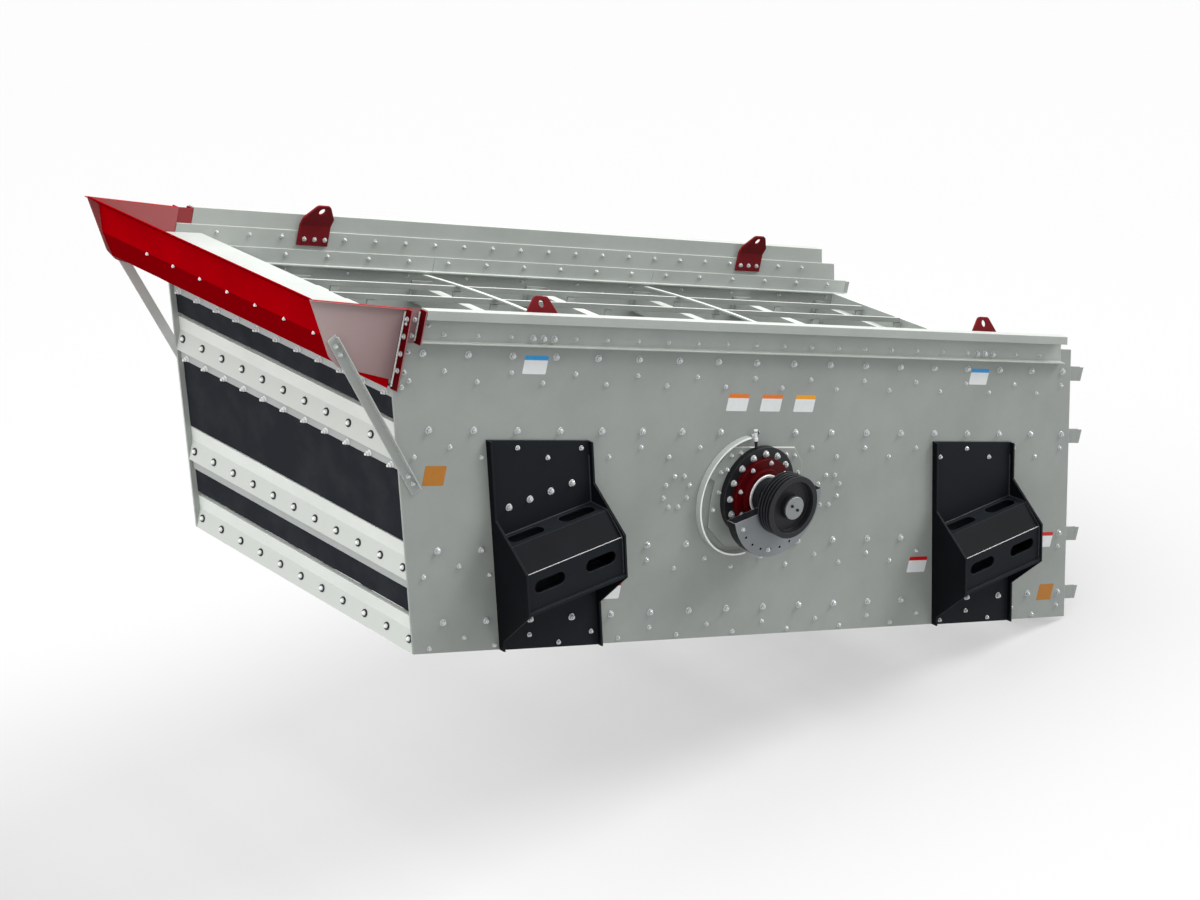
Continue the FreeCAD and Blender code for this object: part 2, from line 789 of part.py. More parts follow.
def pulley():
    """V-belt pulley turned about the shaft: grooved rim, dished web and hub."""
    face = pulley_face - cap_thickness
    back = face - pulley_width
    first = back + (pulley_width - (groove_count - 1) * groove_pitch) / 2
    rim = [(pulley_radius, back)]
    for i in range(groove_count):
        middle = first + i * groove_pitch
        root = pulley_radius - groove_depth
        rim += [(pulley_radius, middle - groove_mouth / 2), (root, middle - groove_root / 2),
                (root, middle + groove_root / 2), (pulley_radius, middle + groove_mouth / 2)]
    inner = pulley_radius - pulley_rim
    web_face = face - pulley_dish
    web_top = inner - pulley_rim_draft
    web_foot = pulley_hub_radius + pulley_hub_draft
    rim += [(pulley_radius, face), (inner, face), (web_top, web_face), (web_foot, web_face),
            (pulley_hub_radius, face), (shaft_radius, face), (shaft_radius, back),
            (pulley_hub_radius, back), (web_foot, web_face - pulley_web),
            (web_top, web_face - pulley_web), (inner, back)]
    corners = [Vector(axis_place + r, -half_width - d, axis_height) for r, d in rim]
    profile = Part.Face(Part.makePolygon(corners + corners[:1]))
    return profile.revolve(Vector(axis_place, 0, axis_height), Vector(0, 1, 0), 360)


def shaft_cap(reach):
    return disc(axis_place, axis_height, cap_radius, -half_width - reach,
                -half_width - reach + cap_thickness)


def breather():
    """Breather and its short hose above the near bearing housing, in the level frame."""
    x, z = level_point(axis_place, axis_height)
    pad_face, ring_face, cover_face = stack()
    v = pad_face - ring_depth / 2
    hose = Part.makeCylinder(hose_radius, breather_bottom - ring_radius,
                             Vector(x, v, z + ring_radius))
    fitting = Part.makeCylinder(breather_body, breather_top - breather_bottom,
                                Vector(x, v, z + breather_bottom))
    head = Part.makeCylinder(breather_radius, (breather_top - breather_bottom) / 3,
                             Vector(x, v, z + breather_top - (breather_top - breather_bottom) / 3))
    foot = Part.makeCylinder(breather_radius, (breather_top - breather_bottom) / 4,
                             Vector(x, v, z + breather_bottom))
    stay = block(x - breather_body / 2, x + breather_body / 2, v, -half_width,
                 z + breather_bottom + breather_stay_rise,
                 z + breather_bottom + breather_stay_rise + breather_stay_height)
    return join([hose, fitting, head, foot, stay])


os.makedirs("parts", exist_ok=True)


def save_pair(name, shape, place):
    """A near piece and its mirror image on the far side."""
    save("near_" + name, place(shape))
    save("far_" + name, place(mirror_across(shape)))


def save_both(name, shapes, place):
    """Near pieces and their mirror images as one sub-part."""
    save(name, place(Part.makeCompound(shapes + [mirror_across(shape) for shape in shapes])))


save_pair("side_plate", side_plate(), finish_deck)
save_pair("top_rail", top_rail(), finish_deck)
liners = []
for level in deck_heights:
    liners += side_liner(level)
save_pair("side_liners", Part.makeCompound(liners), finish_deck)
decks = zip(deck_names, deck_heights, beam_firsts, beam_depths, stringer_depths)
for name, level, first, beam_depth, stringer_depth in decks:
    beams = deck_beams(level, first, beam_depth, stringer_depth)
    save(name + "_deck_beams", finish_deck(Part.makeCompound(beams)))
    stringers = deck_stringers(level, first, stringer_depth)
    save(name + "_deck_stringers", finish_deck(Part.makeCompound(stringers)))
lips = [discharge_lip(level, depth) for level, depth in zip(deck_heights, stringer_depths)]
save("discharge_lips", finish_deck(Part.makeCompound(lips)))
bars = [crown_bar(beam_firsts[0] + (2 * i + 1) * beam_pitch, deck_heights[0]) for i in range(2)]
save("top_crown_bars", finish_deck(Part.makeCompound(bars)))
save("upper_curtain_hanger", finish_level(curtain_hanger(curtain_tops[0])))
hung = curtain_tops[1:] + (cross_bottoms[-1] + clamp_drop,)
for name, bottom, below in zip(cross_names, cross_bottoms, hung):
    save(name + "_feed_cross_plate", finish_level(cross_plate(bottom, below)))
curtains = [curtain(low, high) for low, high in zip(curtain_bottoms, curtain_tops)]
save("rubber_curtains", finish_level(Part.makeCompound(curtains)))
clamps = [clamp_bar(high) for high in curtain_tops]
save("curtain_clamp_bars", finish_level(Part.makeCompound(clamps)))
save("feed_box_front", finish_deck(feed_front()))
save("feed_wear_plate", finish_deck(wear_sheet()))
save_pair("feed_box_cheek", feed_cheek(), finish_deck)
save_both("feed_box_flanges", [cheek_flange()], finish_deck)
save_both("feed_box_braces", [brace()], finish_deck)
save_both("lifting_lugs", [lug(place) for place in lug_places], finish_deck)
for name, place in zip(bracket_names, bracket_places):
    save_pair(name + "_spring_bracket", spring_bracket(place), finish_level)
tubes = [cross_tube(place) for place in tube_places]
save("cross_tubes", finish_deck(Part.makeCompound(tubes)))
save("exciter_tube", finish_deck(exciter_tube()))
save_both("exciter_pads", [exciter_pad()], finish_deck)
save_both("guard_bands", [guard_band()], finish_deck)
save_pair("bearing_housing", bearing_housing(), finish_deck)
save_both("bearing_covers", [bearing_cover()], finish_deck)
save_pair("counterweight", counterweight(), finish_deck)
save("exciter_shaft", finish_deck(shaft()))
save("drive_pulley", finish_deck(pulley()))
caps = [shaft_cap(pulley_face), mirror_across(shaft_cap(far_cap_face))]
save("shaft_caps", finish_deck(Part.makeCompound(caps)))
save("breather", finish_level(breather()))
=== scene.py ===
import math
import random
import bpy
from mathutils import Matrix, Quaternion, Vector
from mathutils.bvhtree import BVHTree
from mathutils.noise import noise


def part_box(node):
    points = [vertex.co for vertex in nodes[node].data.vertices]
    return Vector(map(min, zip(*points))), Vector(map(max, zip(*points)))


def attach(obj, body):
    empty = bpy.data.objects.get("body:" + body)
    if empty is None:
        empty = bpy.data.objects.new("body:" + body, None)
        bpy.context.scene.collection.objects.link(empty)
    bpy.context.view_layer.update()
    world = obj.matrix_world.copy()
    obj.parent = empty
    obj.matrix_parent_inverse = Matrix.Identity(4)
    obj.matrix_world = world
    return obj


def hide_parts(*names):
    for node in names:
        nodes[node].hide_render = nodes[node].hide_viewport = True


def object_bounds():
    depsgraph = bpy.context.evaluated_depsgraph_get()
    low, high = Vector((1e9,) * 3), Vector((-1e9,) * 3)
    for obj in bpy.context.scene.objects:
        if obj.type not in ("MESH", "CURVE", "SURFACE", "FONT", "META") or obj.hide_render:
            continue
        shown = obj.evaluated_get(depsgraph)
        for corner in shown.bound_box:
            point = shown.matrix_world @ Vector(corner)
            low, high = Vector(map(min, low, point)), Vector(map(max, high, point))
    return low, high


# Inclined vibrating screen with four decks: the CAD frame is painted, bolted up, hung with its
# curtains and lit. Everything is in metres.

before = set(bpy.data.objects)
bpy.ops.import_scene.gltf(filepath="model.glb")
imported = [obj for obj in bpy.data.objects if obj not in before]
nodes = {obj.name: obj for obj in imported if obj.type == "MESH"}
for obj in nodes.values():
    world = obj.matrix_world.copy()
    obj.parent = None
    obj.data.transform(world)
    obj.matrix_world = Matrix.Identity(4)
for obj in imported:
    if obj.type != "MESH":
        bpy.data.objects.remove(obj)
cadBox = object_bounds()
random.seed(18)
print("frame loaded")

# the camera stands where the photograph was taken from
view = {"place": (-9.405, -12.320, 8.000), "aim": (0.465, 0.164, 0.721), "roll": -2.711, "lens": 86.52}

camera = bpy.data.objects.new("camera", bpy.data.cameras.new("camera"))
bpy.context.scene.collection.objects.link(camera)
camera.location = view["place"]
look = (Vector(view["aim"]) - Vector(view["place"])).to_track_quat("-Z", "Y")
camera.rotation_euler = (look @ Quaternion((0, 0, 1), math.radians(view["roll"]))).to_euler()
camera.data.lens = view["lens"]
camera.data.clip_end = 400
bpy.context.scene.camera = camera
bpy.context.scene.view_settings.view_transform = "Standard"
print("camera placed")

# the deck frame has u along the decks, v across from the middle with the near side at minus, and
# w square to the decks; the level frame has z straight up; both start at the side plates' feed corner
deck = {"slope": math.radians(18), "length": 6.0, "feedCorner": 1.672}

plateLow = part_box("near_side_plate")[0]
nearFace = plateLow.y
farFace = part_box("far_side_plate")[1].y
halfWidth = (farFace - nearFace) / 2
corner = Vector((plateLow.x, (nearFace + farFace) / 2,
                 plateLow.z + deck["length"] * math.sin(deck["slope"])))
levelFrame = Matrix.Translation(corner)
deckFrame = levelFrame @ Matrix.Rotation(deck["slope"], 4, "Y")
alongDeck = deckFrame.to_3x3() @ Vector((1, 0, 0))
bothSides = ((-1, "near"), (1, "far"))


def slantEnd(w):
    return deck["length"] - w * math.tan(deck["slope"])


def slantStart(w):
    return -min(w, deck["feedCorner"]) * math.tan(deck["slope"])


def toDeck(x, z):
    s, c = math.sin(deck["slope"]), math.cos(deck["slope"])
    return x * c - z * s, x * s + z * c


# every CAD face in one tree, so that a bolt or a label lands on what carries it
def wholeShell():
    points, faces = [], []
    for node in nodes.values():
        start = len(points)
        points += [v.co.copy() for v in node.data.vertices]
        faces += [[start + i for i in p.vertices] for p in node.data.polygons]
    return BVHTree.FromPolygons(points, faces)


shell = wholeShell()


def landOn(point, direction, reach=3.0):
    place, normal = shell.ray_cast(point, direction, reach)[:2]
    if place is None:
        return None, None
    if normal.dot(direction) > 0:
        normal = -normal
    return place, normal


def landed(points, way, reach=3.0):
    # the seats of those rays from deck-frame points that land
    seats = [landOn(deckFrame @ Vector(point), way, reach) for point in points]
    return [seat for seat in seats if seat[0] is not None]


# materials

def linear(code):
    parts = [int(code[i:i + 2], 16) / 255 for i in (1, 3, 5)]
    return [p / 12.92 if p <= 0.04045 else ((p + 0.055) / 1.055) ** 2.4 for p in parts] + [1.0]


def addNode(tree, kind, sockets=None, links=None, **settings):
    node = tree.nodes.new(kind)
    for key, value in settings.items():
        setattr(node, key, value)
    for key, value in (sockets or {}).items():
        node.inputs[key].default_value = value
    for key, source in (links or {}).items():
        tree.links.new(source, node.inputs[key])
    return node


def startMaterial(name):
    material = bpy.data.materials.new(name)
    material.use_nodes = True
    material.node_tree.nodes.clear()
    return material, material.node_tree


def edgeOf(tree, radius, low, high):
    # a rounded normal along the edges, and how far a point is onto such an edge
    rounded = addNode(tree, "ShaderNodeBevel", {"Radius": radius}, samples=4)
    flat = addNode(tree, "ShaderNodeNewGeometry")
    turn = addNode(tree, "ShaderNodeVectorMath", links={0: rounded.outputs[0], 1: flat.outputs["Normal"]},
                   operation="DOT_PRODUCT")
    mask = addNode(tree, "ShaderNodeMapRange", {"From Min": high, "From Max": low},
                   {"Value": turn.outputs["Value"]})
    return rounded, mask


def roughBy(tree, cloud, rough, less, more):
    return addNode(tree, "ShaderNodeMapRange", {"To Min": rough - less, "To Max": rough + more},
                   {"Value": cloud.outputs["Fac"]}).outputs["Result"]


def finishWith(tree, sockets, links):
    shader = addNode(tree, "ShaderNodeBsdfPrincipled", sockets, links)
    addNode(tree, "ShaderNodeOutputMaterial", links={"Surface": shader.outputs["BSDF"]})


def blendColours(tree, factor, first, second):
    mix = addNode(tree, "ShaderNodeMix", links={0: factor}, data_type="RGBA")
    for index, source in ((6, first), (7, second)):
        if isinstance(source, str):
            mix.inputs[index].default_value = linear(source)
        else:
            tree.links.new(source, mix.inputs[index])
    return mix.outputs[2]


# faces that look one way can take a second colour: the way, and the least share of it
facings = {"lip": ((0, 0, 1), 0.8), "side": ((0, 1, 0), 0.8), "otherSide": ((0, -1, 0), 0.8),
           "under": ((0, 0, -1), 0.25), "slant": ((-0.954, 0, 0.300), 0.98)}


def coatedPlate(name, coat):
    material, tree = startMaterial(name)
    place = addNode(tree, "ShaderNodeTexCoord")
    cloud = addNode(tree, "ShaderNodeTexNoise",
                    {"Scale": 1 / coat["cloudSize"], "Detail": 5.0, "Roughness": 0.6},
                    {"Vector": place.outputs["Object"]})
    peel = addNode(tree, "ShaderNodeTexNoise", {"Scale": 1 / coat["peelSize"], "Detail": 2.0},
                   {"Vector": place.outputs["Object"]})
    drift = addNode(tree, "ShaderNodeMapRange", {"From Min": 0.35, "From Max": 0.65},
                    {"Value": cloud.outputs["Fac"]})
    rounded, mask = edgeOf(tree, coat["edgeRadius"], 0.90, 0.995)
    tint = blendColours(tree, drift.outputs["Result"], coat["colour"], coat["cloud"])
    if "paintedShadingColour" in coat:
        # painted light and shade: the colour grades from one tone at one end to the other, as light falls
        # across the part
        along = addNode(tree, "ShaderNodeVectorMath", {1: coat["paintedShadingWay"]}, {0: place.outputs["Object"]},
                        operation="DOT_PRODUCT")
        low, high = coat["paintedShadingEnds"]
        share = addNode(tree, "ShaderNodeMapRange", {"From Min": low, "From Max": high},
                        {"Value": along.outputs["Value"]})
        tint = blendColours(tree, share.outputs["Result"], coat["paintedShadingColour"], tint)
    for part, (way, least) in facings.items():
        if part in coat:
            faced = addNode(tree, "ShaderNodeVectorMath", {1: way},
                            {0: addNode(tree, "ShaderNodeNewGeometry").outputs["True Normal"]},
                            operation="DOT_PRODUCT")
            there = addNode(tree, "ShaderNodeMath", {1: least}, {0: faced.outputs["Value"]},
                            operation="GREATER_THAN")
            second = coat[part]
            if isinstance(second, tuple):
                # one tone on the near half of the machine and one on the far half
                split = addNode(tree, "ShaderNodeSeparateXYZ", links={0: place.outputs["Object"]})
                beyond = addNode(tree, "ShaderNodeMath", {1: (nearFace + farFace) / 2}, {0: split.outputs["Y"]},
                                 operation="GREATER_THAN")
                second = blendColours(tree, beyond.outputs[0], second[0], second[1])
            tint = blendColours(tree, there.outputs[0], tint, second)
    edge = mask.outputs["Result"]
    if "catch" in coat:
        # only the edges that look up catch the studio light
        height = addNode(tree, "ShaderNodeSeparateXYZ", links={0: rounded.outputs[0]})
        upward = addNode(tree, "ShaderNodeMapRange",
                         {"From Min": 0.15, "From Max": 0.45, "To Min": coat["catch"]},
                         {"Value": height.outputs["Z"]})
        edge = addNode(tree, "ShaderNodeMath", links={0: edge, 1: upward.outputs["Result"]},
                       operation="MULTIPLY").outputs[0]
    # painted highlight: the edge colour along the rounded corners stands in for the light they catch
    tint = blendColours(tree, edge, tint, coat["edge"])
    bump = addNode(tree, "ShaderNodeBump", {"Strength": coat["peel"], "Distance": 0.0006},
                   {"Height": peel.outputs["Fac"], "Normal": rounded.outputs[0]})
    finishWith(tree, {"IOR": 1.5, "Specular IOR Level": coat["shine"]},
               {"Base Color": tint, "Roughness": roughBy(tree, cloud, coat["rough"], 0.05, 0.07),
                "Normal": bump.outputs["Normal"]})
    return material


# how far a near cheek's points lie along the slope down to its heel
cheekLow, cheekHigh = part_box("near_feed_box_cheek")
cheekWay = (0.84, 0, -0.54)
cheekEnds = (cheekLow.x * cheekWay[0] + cheekHigh.z * cheekWay[2],
             cheekHigh.x * cheekWay[0] + cheekLow.z * cheekWay[2])

# Two-part polyurethane enamel, sprayed on blasted plate and oven dried: an even satin skin with
# faint clouds, an orange peel that is drawn at 6 mm instead of 2 mm so that it shows, and a painted
# highlight: an edge colour along the corners for the light they catch. Each row: colour, cloud, edge highlight,
# roughness, sheen, extras
coats = {
    "greyEnamel": ("#949995", "#8d928e", "#c2c6c1", 0.40, 0.35, {}),
    # the lighter tops are partly stone dust and partly painted light from above
    "dustedAndTopLitGreyEnamel": ("#949995", "#8d928e", "#c2c6c1", 0.42, 0.3, {"lip": "#d6d9d4"}),
    # painted shade: the faces square to the decks, the steep strips, are darker than the flared skirts, as if
    # less lit
    "paleEnamel": ("#cfd3ce", "#c8ccc7", "#e0e3de", 0.42, 0.30, {"slant": "#babeb9"}),
    # painted shade: faces that look down take a darker red
    "redEnamel": ("#9a0008", "#8e0007", "#c4000a", 0.6, 0.0, {"under": "#780006"}),
    # painted light: the near cheek grades paler towards its upper feed corner
    "dustyRedEnamel": ("#8a7072", "#836869", "#a8141a", 0.5, 0.05,
                       {"lip": "#9c0009", "paintedShadingColour": "#ab9b99", "paintedShadingWay": cheekWay,
                        "paintedShadingEnds": cheekEnds}),
    # painted light: the far cheek's inner face is redder, for the red light bounced from the box front
    "farDustyEnamel": ("#8a7072", "#836869", "#a8141a", 0.5, 0.05, {"lip": "#9c0009", "otherSide": "#9e5859"}),
    "darkRedEnamel": ("#6c1c22", "#601418", "#b0101a", 0.5, 0.04, {}),
    # painted light: the flanges' faces inside the box are redder than their outer faces, for the red light
    # bounced from the box front
    "flangeEnamel": ("#520408", "#480307", "#a50f18", 0.5, 0.02,
                     {"side": ("#7d4043", "#957c7e"), "otherSide": ("#8f7274", "#8a3c3f"), "lip": "#9c0009"}),
    "claretEnamel": ("#4c0408", "#400307", "#7a0a10", 0.4, 0.1, {}),
    # painted light and shade: faces that look sideways and up each take their own black, set to how lit each
    # looks; the rest take the darkest
    "blackEnamel": ("#0d0f13", "#0a0c0f", "#45494d", 0.5, 0.05,
                    {"side": "#212428", "otherSide": "#1b1e22", "lip": "#202327", "catch": 0.1}),
    "castBlack": ("#1d1e22", "#151619", "#44464a", 0.45, 0.25, {}),
    # painted highlight: the rims that look up take a near-white edge
    "weightEnamel": ("#17181b", "#121316", "#e0e2e2", 0.45, 0.2,
                     {"side": "#83878a", "otherSide": "#83878a", "catch": 0.05}),
    # painted highlight: the guard bands' outward faces and edges are near white for the light they catch; the
    # same finish colours the pad welds and the sealant
    "bandEnamel": ("#b6bab6", "#aeb2ae", "#f2f4f2", 0.4, 0.3, {"side": "#f0f2f0", "otherSide": "#f0f2f0"}),
    # painted light: the grey enamel made lighter for the far side and both top rails, as if they got more
    # light, with lighter tops still
    "paintedLitGreyEnamel": ("#a6aba7", "#9ea39f", "#d0d4cf", 0.40, 0.35, {"lip": "#b9bdb8"}),
    "wornEnamel": ("#bdc1bd", "#b4b8b4", "#ccd0cb", 0.40, 0.30, {}),
    # painted shade and light: the near brace is darker and the far brace lighter
    "braceEnamel": ("#d0d3d0", "#c6c9c6", "#e4e6e4", 0.45, 0.2,
                    {"paintedShadingColour": "#a0a4a1", "paintedShadingWay": (0, 1, 0), "paintedShadingEnds": (nearFace, farFace)}),
}
finishes = {}
for name, (colour, cloud, edge, rough, shine, more) in coats.items():
    finishes[name] = coatedPlate(name, dict(
        more, colour=colour, cloud=cloud, edge=edge, rough=rough, shine=shine,
        cloudSize=0.45, peelSize=0.006, peel=0.12, edgeRadius=0.004))


def platedSteel(name, plated):
    material, tree = startMaterial(name)
    place = addNode(tree, "ShaderNodeTexCoord")
    spangle = addNode(tree, "ShaderNodeTexVoronoi", {"Scale": 1 / plated["grain"]},
                      {"Vector": place.outputs["Object"]})
    cloud = addNode(tree, "ShaderNodeTexNoise", {"Scale": 1 / plated["cloudSize"], "Detail": 4.0},
                    {"Vector": place.outputs["Object"]})
    rounded, mask = edgeOf(tree, plated["edgeRadius"], 0.88, 0.99)
    tint = blendColours(tree, cloud.outputs["Fac"], plated["colour"], plated["cloud"])
    # painted highlight: the edge colour along the corners stands in for the light they catch
    tint = blendColours(tree, mask.outputs["Result"], tint, plated["edge"])
    bump = addNode(tree, "ShaderNodeBump", {"Strength": plated["bump"], "Distance": 0.0004},
                   {"Height": spangle.outputs["Distance"], "Normal": rounded.outputs[0]})
    finishWith(tree, {"Metallic": plated["metal"]},
               {"Base Color": tint, "Roughness": roughBy(tree, cloud, plated["rough"], 0.06, 0.08),
                "Normal": bump.outputs["Normal"]})
    return material


# Zinc-plated steel: barrel-plated bolts are bright with small clouds; hot-dipped strips are duller
# and show their spangle, drawn at 9 mm
platingParts = ("colour", "cloud", "edge", "rough", "metal", "grain", "cloudSize", "edgeRadius", "bump")
platings = {
    "zincPlatedBolts": ("#c6c9c9", "#aeb1b2", "#f4f5f5", 0.26, 0.55, 0.004, 0.05, 0.0015, 0.1),
    "brightBolts": ("#eceeed", "#d9dcdb", "#ffffff", 0.3, 0.1, 0.004, 0.05, 0.0015, 0.1),
    "hotDippedStrip": ("#a7aba9", "#999d9b", "#dcdedd", 0.42, 0.3, 0.009, 0.12, 0.003, 0.08),
    # painted shade: a black for the dark washers under the domes and for the cap bolts
    "paintedShadeBlack": ("#121315", "#0c0d0e", "#2a2b2d", 0.5, 0.2, 0.004, 0.05, 0.001, 0.1),
}
for name, plated in platings.items():
    finishes[name] = platedSteel(name, dict(zip(platingParts, plated)))


# Turned and ground steel: fine tool rings about the shaft, drawn 3 mm apart instead of 0.3 mm,
# make a soft streak of light that runs round each face
waveScale = 0.314  # a wave texture of this scale repeats once a metre
turned = {"colour": "#8b8e8f", "cloud": "#787b7d", "edge": "#e2e3e3", "rough": 0.32, "ring": 0.003}
axis = (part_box("exciter_shaft")[0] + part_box("exciter_shaft")[1]) / 2


def turnedSteel(name):
    material, tree = startMaterial(name)
    place = addNode(tree, "ShaderNodeTexCoord")
    centred = addNode(tree, "ShaderNodeMapping", {"Location": (-axis.x, 0, -axis.z)},
                      {"Vector": place.outputs["Object"]})
    rings = addNode(tree, "ShaderNodeTexWave",
                    {"Scale": waveScale / turned["ring"], "Distortion": 1.5, "Detail": 2.0},
                    {"Vector": centred.outputs["Vector"]}, wave_type="RINGS", rings_direction="Y")
    cloud = addNode(tree, "ShaderNodeTexNoise", {"Scale": 9.0, "Detail": 4.0},
                    {"Vector": place.outputs["Object"]})
    rounded, mask = edgeOf(tree, 0.003, 0.88, 0.99)
    tint = blendColours(tree, cloud.outputs["Fac"], turned["colour"], turned["cloud"])
    # painted highlight: the edge colour along the corners stands in for the light they catch
    tint = blendColours(tree, mask.outputs["Result"], tint, turned["edge"])
    bump = addNode(tree, "ShaderNodeBump", {"Strength": 0.12, "Distance": 0.0003},
                   {"Height": rings.outputs["Fac"], "Normal": rounded.outputs[0]})
    finishWith(tree, {"Metallic": 0.6, "Roughness": turned["rough"], "Anisotropic": 0.4},
               {"Base Color": tint, "Normal": bump.outputs["Normal"]})
    return material


finishes["turnedSteel"] = turnedSteel("turnedSteel")


# Calendered conveyor rubber: a dull charcoal skin with the faint ribs of its cord plies, drawn at
# 12 mm instead of 3 mm, and a dusting of stone powder
rubber = {"colour": "#1b1e23", "dust": "#2b2d31", "rib": 0.012, "rough": 0.65}


def calenderedRubber(name):
    material, tree = startMaterial(name)
    place = addNode(tree, "ShaderNodeTexCoord")
    ribs = addNode(tree, "ShaderNodeTexWave",
                   {"Scale": waveScale / rubber["rib"], "Distortion": 0.6, "Detail": 1.0},
                   {"Vector": place.outputs["Object"]}, bands_direction="Y")
    dust = addNode(tree, "ShaderNodeTexNoise", {"Scale": 3.0, "Detail": 6.0, "Roughness": 0.65},
                   {"Vector": place.outputs["Object"]})
    worn = addNode(tree, "ShaderNodeMapRange", {"From Min": 0.45, "From Max": 0.8},
                   {"Value": dust.outputs["Fac"]})
    tint = blendColours(tree, worn.outputs["Result"], rubber["colour"], rubber["dust"])
    bump = addNode(tree, "ShaderNodeBump", {"Strength": 0.1, "Distance": 0.0005},
                   {"Height": ribs.outputs["Fac"]})
    finishWith(tree, {"Roughness": rubber["rough"], "IOR": 1.52, "Specular IOR Level": 0.05},
               {"Base Color": tint, "Normal": bump.outputs["Normal"]})
    return material


finishes["calenderedRubber"] = calenderedRubber("calenderedRubber")


# Printed vinyl film, laminated: clean flat ink with a slight ripple where it is rubbed down
def vinylFilm(name, ink, faded):
    material, tree = startMaterial(name)
    place = addNode(tree, "ShaderNodeTexCoord")
    ripple = addNode(tree, "ShaderNodeTexNoise", {"Scale": 25.0, "Detail": 3.0},
                     {"Vector": place.outputs["Object"]})
    bump = addNode(tree, "ShaderNodeBump", {"Strength": 0.06, "Distance": 0.0005},
                   {"Height": ripple.outputs["Fac"]})
    finishWith(tree, {"Roughness": 0.3, "Specular IOR Level": 0.3},
               {"Base Color": blendColours(tree, ripple.outputs["Fac"], ink, faded),
                "Normal": bump.outputs["Normal"]})
    return material


inks = {"white": ("#dfe1e1", "#d2d5d6"), "blue": ("#2b9ad8", "#1f87c4"), "orange": ("#e07a1e", "#d06a14"),
        "amber": ("#e8a01c", "#d99212"), "red": ("#c4161c", "#b11016"), "plainOrange": ("#b07220", "#a46818")}
for name, (ink, faded) in inks.items():
    finishes[name + "Film"] = vinylFilm(name + "Film", ink, faded)

# which finish each CAD node gets
dressing = {
    "greyEnamel": ["near_side_plate", "exciter_pads"],
    "dustedAndTopLitGreyEnamel": ["near_side_liners", "top_deck_beams", "second_deck_beams", "third_deck_beams",
                         "bottom_deck_beams", "top_deck_stringers", "second_deck_stringers",
                         "third_deck_stringers", "bottom_deck_stringers", "discharge_lips",
                         "top_crown_bars", "cross_tubes", "exciter_tube"],
    "paleEnamel": ["upper_feed_cross_plate", "middle_feed_cross_plate", "lower_feed_cross_plate"],
    "redEnamel": ["feed_box_front"],
    "paintedLitGreyEnamel": ["near_top_rail", "far_side_plate", "far_top_rail", "far_side_liners"],
    "wornEnamel": ["feed_wear_plate"],
    "dustyRedEnamel": ["near_feed_box_cheek"],
    "farDustyEnamel": ["far_feed_box_cheek"],
    "darkRedEnamel": ["lifting_lugs"],
    "flangeEnamel": ["feed_box_flanges"],
    "claretEnamel": ["bearing_covers"],
    "blackEnamel": ["near_feed_spring_bracket", "far_feed_spring_bracket", "near_discharge_spring_bracket",
                    "far_discharge_spring_bracket"],
    "castBlack": ["near_bearing_housing", "far_bearing_housing", "drive_pulley", "exciter_shaft"],
    "weightEnamel": ["near_counterweight", "far_counterweight"],
    "bandEnamel": ["guard_bands"],
    "braceEnamel": ["feed_box_braces"],
    "hotDippedStrip": ["curtain_clamp_bars", "upper_curtain_hanger"],
    "brightBolts": ["breather"],
    "turnedSteel": ["shaft_caps"],
    "calenderedRubber": ["rubber_curtains"],
}
for finish, names in dressing.items():
    for name in names:
        if not nodes[name].material_slots:
            nodes[name].data.materials.append(None)
        for place in nodes[name].material_slots:
            place.material = finishes[finish]
print("materials made")


# meshes

def makePiece(name, points, faces, finish, body, slotName, marks=None, sharp=35):
    mesh = bpy.data.meshes.new(name)
    mesh.from_pydata(points, [], faces)
    for one in finish:
        mesh.materials.append(finishes[one])
    if marks:
        mesh.polygons.foreach_set("material_index", marks)
    mesh.polygons.foreach_set("use_smooth", [True] * len(mesh.polygons))
    mesh.validate()
    mesh.update()
    mesh.set_sharp_from_angle(angle=math.radians(sharp))
    piece = bpy.data.objects.new(name, mesh)
    bpy.context.scene.collection.objects.link(piece)
    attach(piece, body)
    return piece


def ringSkin(rings, mark=0):
    # closed skin over a list of equal rings, lowest first; the last ring is capped
    count = len(rings[0])
    points = [p for ring in rings for p in ring]
    faces = []
    for level in range(len(rings) - 1):
        for i in range(count):
            j = (i + 1) % count
            a, b = level * count, (level + 1) * count
            faces.append((a + i, a + j, b + j, b + i))
    faces.append(tuple((len(rings) - 1) * count + i for i in range(count)))
    return points, faces, [mark] * len(faces)


def circle(radius, z, count):
    turns = [i * math.tau / count for i in range(count)]
    return [(radius * math.cos(turn), radius * math.sin(turn), z) for turn in turns]


def joined(parts):
    points, faces, marks = [], [], []
    for somePoints, someFaces, someMarks in parts:
        start = len(points)
        points += somePoints
        faces += [tuple(start + i for i in face) for face in someFaces]
        marks += someMarks
    return points, faces, marks


def nutAndStud(size):
    # washer, chamfered hexagon and the domed stud end over it; size is in millimetres
    k = 0.001
    flat, washer = size["across"] / math.sqrt(3) * k, size["washer"] * k
    low, high, tip = size["washerHigh"] * k, (size["washerHigh"] + size["high"]) * k, size["tip"] * k
    stud = size["stud"] * k
    parts = [ringSkin([circle(washer, 0, 16), circle(washer, low * 0.7, 16), circle(washer * 0.93, low, 16)]),
             ringSkin([circle(flat, low, 6), circle(flat, high - 0.002, 6), circle(flat * 0.86, high, 6)])]
    if tip > 0:
        parts.append(ringSkin([circle(stud, high, 10), circle(stud, high + tip * 0.7, 10),
                               circle(stud * 0.6, high + tip, 10)]))
    return joined(parts)


